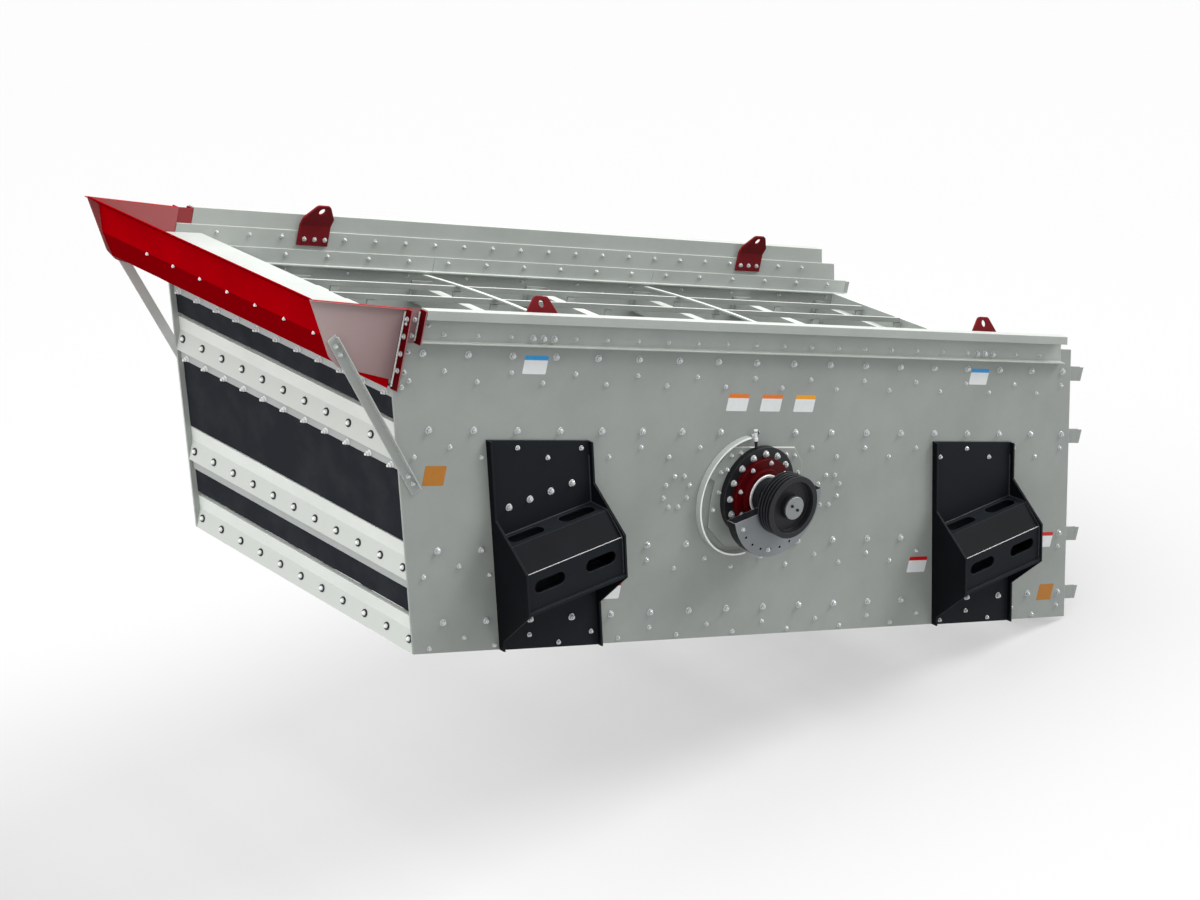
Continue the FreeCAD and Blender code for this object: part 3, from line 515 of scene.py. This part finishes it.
def domedHead(size):
    # a domed head on a dark washer, which is painted shade: the dark ring round the dome
    k = 0.001
    washer, lift, dome, high = size["washer"] * k, size["lift"] * k, size["dome"] * k, size["high"] * k
    rings = [circle(dome, lift, 14)]
    for i in range(1, 5):
        turn = i * math.radians(82) / 4
        rings.append(circle(dome * math.cos(turn), lift + high * math.sin(turn), 14))
    foot = [circle(washer, 0, 16), circle(washer, lift * 0.8, 16), circle(washer * 0.93, lift, 16)]
    return joined([ringSkin(foot, 1), ringSkin(rings)])


fasteners = {
    "large": nutAndStud({"across": 30, "washer": 23, "washerHigh": 4, "high": 15, "tip": 8, "stud": 10}),
    "small": nutAndStud({"across": 21, "washer": 16, "washerHigh": 3, "high": 11, "tip": 6, "stud": 7}),
    "long": nutAndStud({"across": 27, "washer": 19, "washerHigh": 4, "high": 16, "tip": 16, "stud": 9}),
    "tiny": nutAndStud({"across": 15, "washer": 11, "washerHigh": 2, "high": 8, "tip": 3, "stud": 4}),
    "domed": domedHead({"washer": 25, "lift": 7, "dome": 15, "high": 15}),
    "knob": domedHead({"washer": 15, "lift": 3, "dome": 11, "high": 11}),
}


def seatOf(place, normal):
    # local z along the normal, spun to a random angle as a wrench leaves it
    turn = normal.to_track_quat("Z", "Y") @ Quaternion((0, 0, 1), random.uniform(0, math.tau))
    return Matrix.Translation(place) @ turn.to_matrix().to_4x4()


def boltUp(name, kind, seats, body="frame", slotName="zinc_plated_steel", finish="zincPlatedBolts"):
    base, faces, marks = fasteners[kind]
    allPoints, allFaces, allMarks = [], [], []
    for place, normal in seats:
        seat = seatOf(place, normal)
        start = len(allPoints)
        allPoints += [seat @ Vector(p) for p in base]
        allFaces += [tuple(start + i for i in face) for face in faces]
        allMarks += marks
    return makePiece(name, allPoints, allFaces, [finish, "paintedShadeBlack"], body, slotName, allMarks)


# how square to the ray, how even, and how near its known depth a face must be to carry a washer
flatness = {"square": 0.9, "even": 0.0012, "depth": 0.0015}


def flatSeat(start, direction, radius, depths=None, reach=3.0):
    # where a ray lands, kept only when the whole washer lies on that face
    place, normal = landOn(start, direction, reach)
    if place is None or normal.dot(direction) > -flatness["square"]:
        return None
    side = normal.orthogonal().normalized()
    for i in range(6):
        rim = place + Quaternion(normal, i * math.tau / 6) @ side * radius
        under, _ = landOn(rim + normal * 0.02, -normal, 0.05)
        if under is None or abs((under - rim).dot(normal)) > flatness["even"]:
            return None
    if depths and min(abs(abs(place.y - corner.y) - d) for d in depths) > flatness["depth"]:
        return None
    return place, normal


def seatsOn(side, spots, radius, depths=(1.2, 1.208, 1.212), start=2.0, inward=True):
    # spots in the deck frame on one side of the machine; side is -1 near and 1 far
    seats = []
    for u, w in spots:
        ray = deckFrame @ Vector((u, side * start, w))
        found = flatSeat(ray, Vector((0, -side if inward else side, 0)), radius, depths)
        if found:
            seats.append(found)
    return seats


# side plate bolts: three kinds of row at each deck, read from the photograph
sideBolts = {"main": [(1.840, -0.361), (1.384, -0.212), (0.645, 0.028), (0.194, 0.176)], "mainPitch": 0.3337,
             "upper": [(1.738, -0.179), (1.282, -0.029), (0.545, 0.216), (0.092, 0.362)],
             "lower": [(1.678, 0.078), (1.221, -0.279), (0.484, -0.037), (0.032, 0.111)], "pitch": 0.501,
             "clear": 0.40, "axis": (2.53, 1.0), "startEdge": 0.055, "endEdge": 0.05}


def rowSpots(rows, pitch):
    spots = []
    for w, first in rows:
        u = first
        while u < slantEnd(w) - sideBolts["endEdge"]:
            away = math.hypot(u - sideBolts["axis"][0], w - sideBolts["axis"][1])
            if u > slantStart(w) + sideBolts["startEdge"] and away > sideBolts["clear"]:
                spots.append((u, w))
            u += pitch
    return spots


mainSpots = rowSpots(sideBolts["main"], sideBolts["mainPitch"])
smallSpots = rowSpots(sideBolts["upper"] + sideBolts["lower"], sideBolts["pitch"])
tubeBolts = {"centres": [(1.8515, 0.993), (3.2085, 0.993)], "radius": 0.109, "count": 8}
tubeSpots = [(u + tubeBolts["radius"] * math.cos((i + 0.5) * math.tau / tubeBolts["count"]),
              w + tubeBolts["radius"] * math.sin((i + 0.5) * math.tau / tubeBolts["count"]))
             for u, w in tubeBolts["centres"] for i in range(tubeBolts["count"])]
railBolts = {"w": 1.955, "first": -0.24, "pitch": 0.25, "endEdge": 0.16,
             "lugs": (0.508, 4.44), "lugSpan": 0.0815, "lugClear": 0.13, "lugW": 1.950}
railSpots, u = [], railBolts["first"]
while u < slantEnd(railBolts["w"]) - railBolts["endEdge"]:
    if min(abs(u - lug) for lug in railBolts["lugs"]) > railBolts["lugClear"]:
        railSpots.append((u, railBolts["w"]))
    u += railBolts["pitch"]
lugSpots = [(lug + i * railBolts["lugSpan"], railBolts["lugW"])
            for lug in railBolts["lugs"] for i in (-1, 0, 1)]
bracketBolts = {"places": (1.010, 4.720), "off": (-0.256, -0.097, 0.063, 0.226), "z": 0.714}
bracketSpots = [toDeck(middle + off, bracketBolts["z"])
                for middle in bracketBolts["places"] for off in bracketBolts["off"]]

# a washer needs this radius of flat metal
seatRoom = {"large": 0.024, "small": 0.017, "domed": 0.020, "long": 0.010}
for side, label in bothSides:
    boltUp(label + "SideBolts", "large", seatsOn(side, mainSpots, seatRoom["large"]))
    boltUp(label + "SmallBolts", "small", seatsOn(side, smallSpots + tubeSpots, seatRoom["small"]))
    boltUp(label + "RailBolts", "small", seatsOn(side, railSpots, seatRoom["small"]))
    boltUp(label + "LugBolts", "large", seatsOn(side, lugSpots, seatRoom["large"], None))
    boltUp(label + "BracketBolts", "large", seatsOn(side, bracketSpots, seatRoom["large"]))
    # the inner ends of the same bolts, from just inside the plate
    inner = seatsOn(side, mainSpots + smallSpots + railSpots + lugSpots, seatRoom["small"], None, 1.12, False)
    boltUp(label + "InnerNuts", "small", inner)
print("side bolts done")

# feed end: bright domed bolts across each skirt, on dark washers that are painted shade round the domes, and
# the clamp bolts of the curtains
feedBolts = {"skirts": (0.072, 0.548, 1.327), "first": -1.137, "pitch": 0.2274, "count": 11,
             "clamps": (0.424, 1.202, 1.660), "clampFirst": -1.105, "clampPitch": 0.2210}
skirtSeats, clampSeats = [], []
for i in range(feedBolts["count"]):
    for z in feedBolts["skirts"]:
        spot = levelFrame @ Vector((-1.2, feedBolts["first"] + i * feedBolts["pitch"], z))
        skirtSeats.append(flatSeat(spot, Vector((1, 0, 0)), seatRoom["domed"]))
    for z in feedBolts["clamps"]:
        spot = levelFrame @ Vector((-1.2, feedBolts["clampFirst"] + i * feedBolts["clampPitch"], z))
        clampSeats.append(flatSeat(spot, Vector((1, 0, 0)), seatRoom["long"]))
boltUp("skirtBolts", "domed", [seat for seat in skirtSeats if seat], finish="brightBolts")
boltUp("clampBolts", "long", [seat for seat in clampSeats if seat], finish="brightBolts")
print("feed end bolts done")

# feed box: flange bolts on both legs and the flat between, brace ends, and the seam under its front
# plate; rays start outside the box, and flats further out than flatReach are the side plate's own
boxBolts = {"legs": [(-0.540, 2.044), (-0.540, 1.943), (-0.540, 1.841), (-0.541, 1.744), (-0.440, 2.017)],
            "flat": [(-0.467, 2.036), (-0.467, 1.944), (-0.468, 1.844), (-0.468, 1.725), (-0.466, 1.635),
                     (-0.365, 2.006), (-0.422, 1.676)],
            "braces": [(-0.981, 1.866), (-0.939, 1.820), (-0.298, 1.109), (-0.254, 1.065)],
            "legSide": 1.237, "legStart": 0.10, "legReach": 0.3, "outside": 1.6, "flatReach": 1.23,
            "seam": 1.911, "seamFirst": -1.09, "seamPitch": 0.2935, "seamCount": 7, "seamStart": -1.5}
legSeats, flatSeats = [], []
for side in (-1, 1):
    inward = Vector((0, -side, 0))
    legSeats += landed([(u - boxBolts["legStart"], side * boxBolts["legSide"], w) for u, w in boxBolts["legs"]],
                       alongDeck, boxBolts["legReach"])
    flats = landed([(u, side * boxBolts["outside"], w) for u, w in boxBolts["flat"]], inward)
    flatSeats += [seat for seat in flats if abs(seat[0].y - corner.y) < boxBolts["flatReach"]]
    flatSeats += landed([(u, side * boxBolts["outside"], w) for u, w in boxBolts["braces"]], inward)
seamSeats = landed([(boxBolts["seamStart"], boxBolts["seamFirst"] + i * boxBolts["seamPitch"], boxBolts["seam"])
                    for i in range(boxBolts["seamCount"])], alongDeck)

# a light sealant bead up the root of each flange leg
rootBead = {"legs": [(-0.64, 1.645), (-0.50, 1.915)], "top": 2.085, "ray": (1.237, 2.0), "reach": 0.2,
            "off": 0.004, "v": 1.212, "radius": 0.005, "ripple": 0.02}
rootBeads = []
for side in (-1, 1):
    for first, foot in rootBead["legs"]:
        v, w = rootBead["ray"]
        for place, _ in landed([(first, side * v, w)], alongDeck, rootBead["reach"]):
            u = (deckFrame.inverted() @ place).x - rootBead["off"]
            ends = (foot, rootBead["top"])
            rootBeads.append([deckFrame @ Vector((u, side * rootBead["v"], w)) for w in ends])
boltUp("flangeLegBolts", "small", legSeats)
boltUp("flangeFlatBolts", "small", flatSeats)
boltUp("boxSeamBolts", "tiny", seamSeats, finish="brightBolts")
print("feed box bolts done")

# top deck bars: the CAD bars' top lines and saddles, with the rolled bar's true slimmer depth
bars = {"count": 5, "pitch": 0.400, "wide": 0.016, "depth": 0.036, "cadDepth": 0.062}


def deckBar(v):
    back = deckFrame.inverted()
    spots = [back @ p.co for p in nodes["top_deck_stringers"].data.vertices]
    spots = [p for p in spots if abs(p.y - v) < bars["wide"]]
    top, foot = max(p.z for p in spots), min(p.z for p in spots)
    upper = [p.x for p in spots if p.z > top - 0.002]
    lower = [p.x for p in spots if abs(p.z - top + bars["cadDepth"]) < 0.002]
    share = bars["depth"] / bars["cadDepth"]
    start = min(upper) + (min(lower) - min(upper)) * share
    end = max(upper) + (max(lower) - max(upper)) * share
    under = top - bars["depth"]
    outlines = [[(start, under), (end, under), (max(upper), top), (min(upper), top)]]
    feet = sorted({round(p.x, 4) for p in spots if p.z < foot + 0.002})
    for a, b in zip(feet[::2], feet[1::2]):
        if b - a < 0.08 and foot < under:
            outlines.append([(a, foot), (b, foot), (b, under + 0.004), (a, under + 0.004)])
    parts = []
    for outline in outlines:
        points = [deckFrame @ Vector((u, v + off, w))
                  for off in (-bars["wide"] / 2, bars["wide"] / 2) for u, w in outline]
        faces = [(0, 1, 2, 3), (7, 6, 5, 4)] + [(i, 4 + i, 4 + (i + 1) % 4, (i + 1) % 4) for i in range(4)]
        parts.append((points, faces, [0] * len(faces)))
    return joined(parts)


barParts = [deckBar((i - 2) * bars["pitch"]) for i in range(bars["count"])]
points, faces, _ = joined(barParts)
deckBars = makePiece("topDeckBars", points, faces, ["dustedAndTopLitGreyEnamel"], "frame", "grey_paint", sharp=20)
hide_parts("top_deck_stringers")
print("deck bars done")

# three curtains of conveyor rubber, cut as one length each and hung from their clamp bars, so the
# free bottom edge waves a little
curtain = {"spans": [(1.500, 1.690), (0.719, 1.235), (0.256, 0.470)], "front": 0.030, "back": 0.040,
           "reach": 1.174, "wave": 0.0044, "sag": 0.003, "columns": 96, "rows": 14}


def curtainSheets():
    points, faces = [], []
    for number, (low, high) in enumerate(curtain["spans"]):
        for face in ("front", "back"):
            start = len(points)
            for row in range(curtain["rows"] + 1):
                t = row / curtain["rows"]
                for column in range(curtain["columns"] + 1):
                    v = -curtain["reach"] + 2 * curtain["reach"] * column / curtain["columns"]
                    sway = noise(Vector((v * 2.1, number * 7.3, t * 0.8))) * curtain["wave"] * (1 - t)
                    sag = noise(Vector((v * 1.3, number * 3.1 + 40, 0))) * curtain["sag"] * (1 - t)
                    points.append(levelFrame @ Vector((curtain[face] + sway, v, low + (high - low) * t + sag)))
            for row in range(curtain["rows"]):
                for column in range(curtain["columns"]):
                    a = start + row * (curtain["columns"] + 1) + column
                    b = a + curtain["columns"] + 1
                    quad = (a, b, b + 1, a + 1)
                    faces.append(quad if face == "front" else quad[::-1])
        size = (curtain["rows"] + 1) * (curtain["columns"] + 1)
        first, second = len(points) - 2 * size, len(points) - size
        across, last = curtain["columns"] + 1, curtain["rows"] * (curtain["columns"] + 1)
        edge = list(range(across)) + [across * r + curtain["columns"] for r in range(1, curtain["rows"] + 1)]
        edge += [last + i for i in range(curtain["columns"] - 1, -1, -1)]
        edge += [across * r for r in range(curtain["rows"] - 1, 0, -1)]
        for i, here in enumerate(edge):
            there = edge[(i + 1) % len(edge)]
            faces.append((first + here, first + there, second + there, second + here))
    return points, faces


sheets = makePiece("curtainSheets", *curtainSheets(), ["calenderedRubber"], "frame", "curtain_rubber")
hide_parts("rubber_curtains")
print("curtains done")

# blank film labels: a coloured head band over a white field, or one plain plate
labels = {"size": (0.180, 0.112), "band": 0.24, "high": 0.0006, "corner": 0.008,
          "spots": [(0.495, 1.788, "blue"), (4.450, 1.787, "blue"), (2.220, 1.578, "orange"),
                    (2.518, 1.578, "orange"), (2.820, 1.578, "amber"), (4.265, 0.446, "red"),
                    (1.460, 0.352, "red"), (5.555, 0.597, "red")],
          "plainSize": (0.157, 0.121), "plain": [(-0.103, 1.107), (5.714, 0.197)]}


def roundedSheet(width, height, cut, radius):
    # outline points of the part under the cut and of the band over it
    def corners(x, y, first):
        turns = [first + i * math.pi / 8 for i in range(5)]
        return [(x + radius * math.cos(turn), y + radius * math.sin(turn)) for turn in turns]
    a, b = width / 2 - radius, height / 2 - radius
    lower = corners(-a, -b, math.pi) + corners(a, -b, 1.5 * math.pi) + [(width / 2, cut), (-width / 2, cut)]
    upper = [(-width / 2, cut), (width / 2, cut)] + corners(a, b, 0) + corners(-a, b, math.pi / 2)
    return lower, upper


def filmLabel(name, spot, side, size, finish, cut):
    place, normal = landOn(deckFrame @ Vector((spot[0], side * 2.0, spot[1])), Vector((0, -side, 0)))
    lean = Matrix.Translation(place) @ deckFrame.to_3x3().to_4x4()
    points, faces, marks = [], [], []
    for mark, outline in enumerate(roundedSheet(size[0], size[1], cut, labels["corner"])):
        start, count = len(points), len(outline)
        for x, z in outline:
            points.append(lean @ Vector((x, side * labels["high"], z)))
        for x, z in outline:
            points.append(lean @ Vector((x, 0, z)))
        top = tuple(range(start, start + count))
        faces.append(top if side < 0 else top[::-1])
        marks.append(mark)
        for i in range(count):
            j = (i + 1) % count
            faces.append((start + i, start + j, start + count + j, start + count + i))
            marks.append(mark)
    return makePiece(name, points, faces, finish, "frame", "grey_paint", marks)


for number, (u, w, ink) in enumerate(labels["spots"]):
    cut = labels["size"][1] * (0.5 - labels["band"])
    filmLabel("label%d" % number, (u, w), -1, labels["size"], ["whiteFilm", ink + "Film"], cut)
for number, spot in enumerate(labels["plain"]):
    filmLabel("plainPlate%d" % number, spot, -1, labels["plainSize"], ["plainOrangeFilm"] * 2, 0.0)
print("labels done")

# bearing and exciter hardware, on circles about the shaft
exciter = {"pads": [(0.319, a) for a in (128.5, 154.6, 182.0, 208.0, 234.0, 48.2)]
           + [(0.360, a) for a in (140.3, 160.7, 180.8, 201.2, 222.0, 242.6)]
           + [(0.372, a) for a in (38.3, 18.4)], "padRoom": 0.015,
           "ring": 0.256, "ringCount": 15, "ringFirst": 94.3, "ringDepth": 1.254,
           "cover": 0.206, "coverCount": 8, "coverFirst": 86.5, "coverDepth": 1.288,
           "gap": 0.012, "reach": 0.03,
           "weightFace": 0.236, "weight": [(0.322, -145.0), (0.327, -90.0)],
           "capFace": (0.386, 0.262), "cap": [(0.030, 155), (0.030, -25)]}


def about(radius, angle):
    return (sideBolts["axis"][0] + radius * math.cos(math.radians(angle)),
            sideBolts["axis"][1] + radius * math.sin(math.radians(angle)))


def seatsAt(side, depth, spots):
    # seats straight on a face at a known depth out from the side plate
    return [(deckFrame @ Vector((u, side * (halfWidth + depth), w)), Vector((0, side, 0)))
            for u, w in (about(*spot) for spot in spots)]


ringSpots = [about(exciter["ring"], exciter["ringFirst"] + i * 360 / exciter["ringCount"])
             for i in range(exciter["ringCount"])]
coverSpots = [about(exciter["cover"], exciter["coverFirst"] + i * 360 / exciter["coverCount"])
              for i in range(exciter["coverCount"])]
for side, label in bothSides:
    padSpots = [about(*spot) for spot in exciter["pads"]]
    boltUp(label + "PadBolts", "small", seatsOn(side, padSpots, exciter["padRoom"]))
    for part, kind, spots, depth in (("RingBolts", "large", ringSpots, exciter["ringDepth"]),
                                     ("CoverBolts", "small", coverSpots, exciter["coverDepth"])):
        # these start between the housing and the counterweight, which would catch the ray
        starts = [(u, side * (depth + exciter["gap"]), w) for u, w in spots]
        boltUp(label + part, kind, landed(starts, Vector((0, -side, 0)), exciter["reach"]))
    boltUp(label + "WeightBolts", "small", seatsAt(side, exciter["weightFace"], exciter["weight"]), "rotor")
    # painted shade: the cap bolts are black, for the dark of the cap's holes
    boltUp(label + "CapBolts", "tiny", seatsAt(side, exciter["capFace"][side > 0], exciter["cap"]), "rotor",
           finish="paintedShadeBlack")


def lathed(profile, side, count=96):
    # a ring about the shaft from (radius, depth) points, closed on itself
    points, faces = [], []
    for radius, depth in profile:
        for i in range(count):
            u, w = about(radius, i * 360 / count)
            points.append(deckFrame @ Vector((u, side * (halfWidth + depth), w)))
    for level in range(len(profile)):
        a, b = level * count, (level + 1) % len(profile) * count
        for i in range(count):
            j = (i + 1) % count
            quad = (a + i, a + j, b + j, b + i)
            faces.append(quad if side < 0 else quad[::-1])
    return points, faces


# bright rings round the necks, in the bores of the bearing covers: a painted highlight for the light on the
# covers' inner lips
highlightRing = {"inner": 0.1155, "outer": 0.134, "foot": 0.106, "face": 0.114}
profile = [(highlightRing["inner"], highlightRing["foot"]), (highlightRing["inner"], highlightRing["face"] - 0.002),
           (highlightRing["inner"] + 0.003, highlightRing["face"]), (highlightRing["outer"] - 0.003, highlightRing["face"]),
           (highlightRing["outer"], highlightRing["face"] - 0.003), (highlightRing["outer"], highlightRing["foot"])]
for side, label in bothSides:
    makePiece(label + "HighlightRing", *lathed(profile, side), ["brightBolts"], "frame", "zinc_plated_steel")

# the breather's round cap with its side knob, over the CAD fitting
breatherLow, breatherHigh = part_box("breather")
breatherMiddle = (breatherLow.x + breatherHigh.x) / 2
cap = {"off": 0.012, "down": 0.012, "knobDown": 0.020}
capSeats = [(Vector((breatherMiddle, breatherLow.y + cap["off"], breatherHigh.z - cap["down"])),
             Vector((0, 0, 1))),
            (Vector((breatherHigh.x, breatherLow.y + cap["off"], breatherHigh.z - cap["knobDown"])),
             Vector((1, 0, 0)))]
boltUp("breatherKnobs", "knob", capSeats, finish="brightBolts")
print("exciter done")


# weld beads: a convex fillet whose ripples are drawn 9 mm apart instead of 3 mm, each ripple swelling
# the bead and no two rings quite alike
bead = {"swell": 0.14, "uneven": 0.05}


def weldBead(line, radius, ripple=0.009, sides=7):
    points, faces = [], []
    for start, end in zip(line, line[1:]):
        along = (end - start).normalized()
        first = along.orthogonal().normalized()
        second = along.cross(first)
        steps = max(2, int((end - start).length / ripple * 3))
        base = len(points)
        for step in range(steps + 1):
            reach = (end - start).length * step / steps
            swell = radius * (1 + bead["swell"] * math.cos(reach / ripple * math.tau)
                              + random.uniform(-bead["uneven"], bead["uneven"]))
            for i in range(sides):
                turn = i * math.tau / sides
                outward = first * math.cos(turn) + second * math.sin(turn)
                points.append(start + along * reach + outward * swell)
        for step in range(steps):
            for i in range(sides):
                j = (i + 1) % sides
                a, b = base + step * sides, base + (step + 1) * sides
                faces.append((a + i, a + j, b + j, b + i))
        faces.append(tuple(base + i for i in reversed(range(sides))))
        faces.append(tuple(base + steps * sides + i for i in range(sides)))
    return points, faces, [0] * len(faces)


# the breather's black hose, over the CAD one
hose = {"radius": 0.0105, "high": 0.052, "off": 0.013, "ripple": 0.05, "sides": 16}
hoseFoot = Vector((breatherMiddle, breatherLow.y + hose["off"], breatherLow.z))
hoseLine = [hoseFoot, hoseFoot + Vector((0, 0, hose["high"]))]
hoseSkin = weldBead(hoseLine, hose["radius"], hose["ripple"], hose["sides"])
makePiece("breatherHose", *hoseSkin[:2], ["castBlack"], "frame", "black_paint")

points, faces, _ = joined([weldBead(line, rootBead["radius"], rootBead["ripple"]) for line in rootBeads])
makePiece("boxSealant", points, faces, ["bandEnamel"], "frame", "pale_paint")

# exciter pads: their welded outline; brackets: cheeks to back plate, shelf to back plate, seat to cheeks
pad = {"outline": [(-0.286, 0.283), (0.279, 0.283), (0.372, 0.190), (0.398, 0.100), (0.398, -0.170)],
       "bead": 0.0055}
bracket = {"half": 0.3825, "cheek": 0.014, "back": 0.012, "top": 1.327, "topGap": 0.02,
           "shelf": 0.540, "shelfOut": 0.168, "knee": 0.402, "front": 0.300, "seat": 0.130, "bead": 0.006,
           "fold": 0.0028, "foldRipple": 0.06, "foldSunk": (0.0012, 0.0008)}
tilt = math.tan(deck["slope"])
hood = [(bracket["back"], bracket["shelf"]), (bracket["shelfOut"], bracket["shelf"]),
        (bracket["front"], bracket["knee"]), (bracket["front"], bracket["seat"])]
for side, label in bothSides:
    outline = [deckFrame @ Vector((sideBolts["axis"][0] + u, side * halfWidth, sideBolts["axis"][1] + w))
               for u, w in pad["outline"]]
    # painted highlight: the pad welds are real beads, and their near-white finish stands in for the light along
    # the pad's edges
    makePiece(label + "PadWelds", *weldBead(outline, pad["bead"])[:2], ["bandEnamel"], "frame", "grey_paint")
    beads, foldHighlights = [], []
    for middle in bracketBolts["places"]:
        shift = -(middle - bracketBolts["places"][0]) * tilt
        depth = side * (halfWidth + bracket["back"])
        cheeks = [middle + end * (bracket["half"] - bracket["cheek"]) for end in (-1, 1)]
        shelf = bracket["shelf"] + shift
        for end, x in zip((-1, 1), cheeks):
            top = bracket["top"] - (middle + end * bracket["half"]) * tilt - bracket["topGap"]
            beads.append(weldBead([levelFrame @ Vector((x, depth, z)) for z in (shelf, top)], bracket["bead"]))
            beads.append(weldBead([levelFrame @ Vector((x, side * (halfWidth + out), high + shift))
                                   for out, high in hood], bracket["bead"]))
        beads.append(weldBead([levelFrame @ Vector((x, depth, shelf)) for x in cheeks], bracket["bead"]))
        # painted highlight: a bright zinc bead along the fold over the seat stands in for the light the fold
        # catches
        inside, down = bracket["foldSunk"]
        foldHighlights.append(weldBead([levelFrame @ Vector((x, side * (halfWidth + bracket["front"] - inside),
                                                    bracket["knee"] + shift - down)) for x in cheeks],
                              bracket["fold"], bracket["foldRipple"]))
    points, faces, _ = joined(beads)
    makePiece(label + "BracketWelds", points, faces, ["castBlack"], "frame", "black_paint")
    points, faces, _ = joined(foldHighlights)
    makePiece(label + "BracketFoldHighlights", points, faces, ["hotDippedStrip"], "frame", "zinc_plated_steel")
print("welds done")

# floor and light: a pale floor a little under the lowest edge, under a studio sky that is brighter
# over the feed end, and one broad lamp over the discharge end that throws the soft shadow to the far
# left of the picture
stage = {"under": 0.02, "size": 70.0, "cameraGlow": 0.40, "paper": 0.36, "bounce": 0.40}
floorLevel = cadBox[0].z - stage["under"]
half = stage["size"]
floorMesh = bpy.data.meshes.new("floor")
floorMesh.from_pydata([(-half, -half, floorLevel), (half, -half, floorLevel), (half, half, floorLevel),
                       (-half, half, floorLevel)], [], [(0, 1, 2, 3)])
floor = bpy.data.objects.new("floor", floorMesh)
bpy.context.scene.collection.objects.link(floor)


def seenRays(tree):
    # 1 for camera, glossy and transmission rays, which all show the same white
    rays = addNode(tree, "ShaderNodeLightPath")
    seen = rays.outputs["Is Camera Ray"]
    for kind in ("Is Glossy Ray", "Is Transmission Ray"):
        seen = addNode(tree, "ShaderNodeMath", links={0: seen, 1: rays.outputs[kind]},
                       operation="MAXIMUM").outputs[0]
    return seen


# the paper shows white where nothing shades it, and throws little light back up
paper, tree = startMaterial("studioPaper")
bounce = addNode(tree, "ShaderNodeBsdfDiffuse", {"Color": [stage["bounce"]] * 3 + [1]})
shown = addNode(tree, "ShaderNodeBsdfDiffuse", {"Color": [stage["paper"]] * 3 + [1]})
glow = addNode(tree, "ShaderNodeEmission", {"Strength": stage["cameraGlow"]})
lit = addNode(tree, "ShaderNodeAddShader", links={0: shown.outputs[0], 1: glow.outputs[0]})
choice = addNode(tree, "ShaderNodeMixShader",
                 links={0: seenRays(tree), 1: bounce.outputs[0], 2: lit.outputs[0]})
addNode(tree, "ShaderNodeOutputMaterial", links={"Surface": choice.outputs[0]})
floorMesh.materials.append(paper)

sky = {"even": 0.45, "key": 2.5, "towards": Vector((-0.8, 0.0, 0.6)).normalized(), "spread": 3.0}
world = bpy.data.worlds.new("studioSky")
bpy.context.scene.world = world
world.use_nodes = True
tree = world.node_tree
tree.nodes.clear()
ray = addNode(tree, "ShaderNodeTexCoord")
toKey = addNode(tree, "ShaderNodeVectorMath", {1: sky["towards"]}, {0: ray.outputs["Generated"]},
                operation="DOT_PRODUCT")
bright = addNode(tree, "ShaderNodeMath", {1: 0.0}, {0: toKey.outputs["Value"]}, operation="MAXIMUM")
narrow = addNode(tree, "ShaderNodeMath", {1: sky["spread"]}, {0: bright.outputs[0]}, operation="POWER")
level = addNode(tree, "ShaderNodeMath", {1: sky["key"], 2: sky["even"]}, {0: narrow.outputs[0]},
                operation="MULTIPLY_ADD")
strength = addNode(tree, "ShaderNodeMix", {3: 1.0}, {0: seenRays(tree), 2: level.outputs[0]},
                   data_type="FLOAT")
backdrop = addNode(tree, "ShaderNodeBackground", {"Color": (1, 1, 1, 1)}, {"Strength": strength.outputs[0]})
addNode(tree, "ShaderNodeOutputWorld", links={"Surface": backdrop.outputs[0]})

lamp = {"towards": Vector((0.64, -0.24, 0.58)), "strength": 2.6, "angle": 34}
lampData = bpy.data.lights.new("broadLamp", "SUN")
lampData.energy = lamp["strength"]
lampData.angle = math.radians(lamp["angle"])
broadLamp = bpy.data.objects.new("broadLamp", lampData)
broadLamp.rotation_euler = lamp["towards"].to_track_quat("Z", "Y").to_euler()
bpy.context.scene.collection.objects.link(broadLamp)

# a softbox hung over the decks
softbox = {"place": (corner.x + 3.2, corner.y + 0.3, corner.z + 5.6), "size": (5.0, 2.4), "power": 130}
boxData = bpy.data.lights.new("softbox", "AREA")
boxData.shape = "RECTANGLE"
boxData.size, boxData.size_y = softbox["size"]
boxData.energy = softbox["power"]
overhead = bpy.data.objects.new("softbox", boxData)
overhead.location = softbox["place"]
overhead.visible_camera = False
bpy.context.scene.collection.objects.link(overhead)
print("floor and light done")
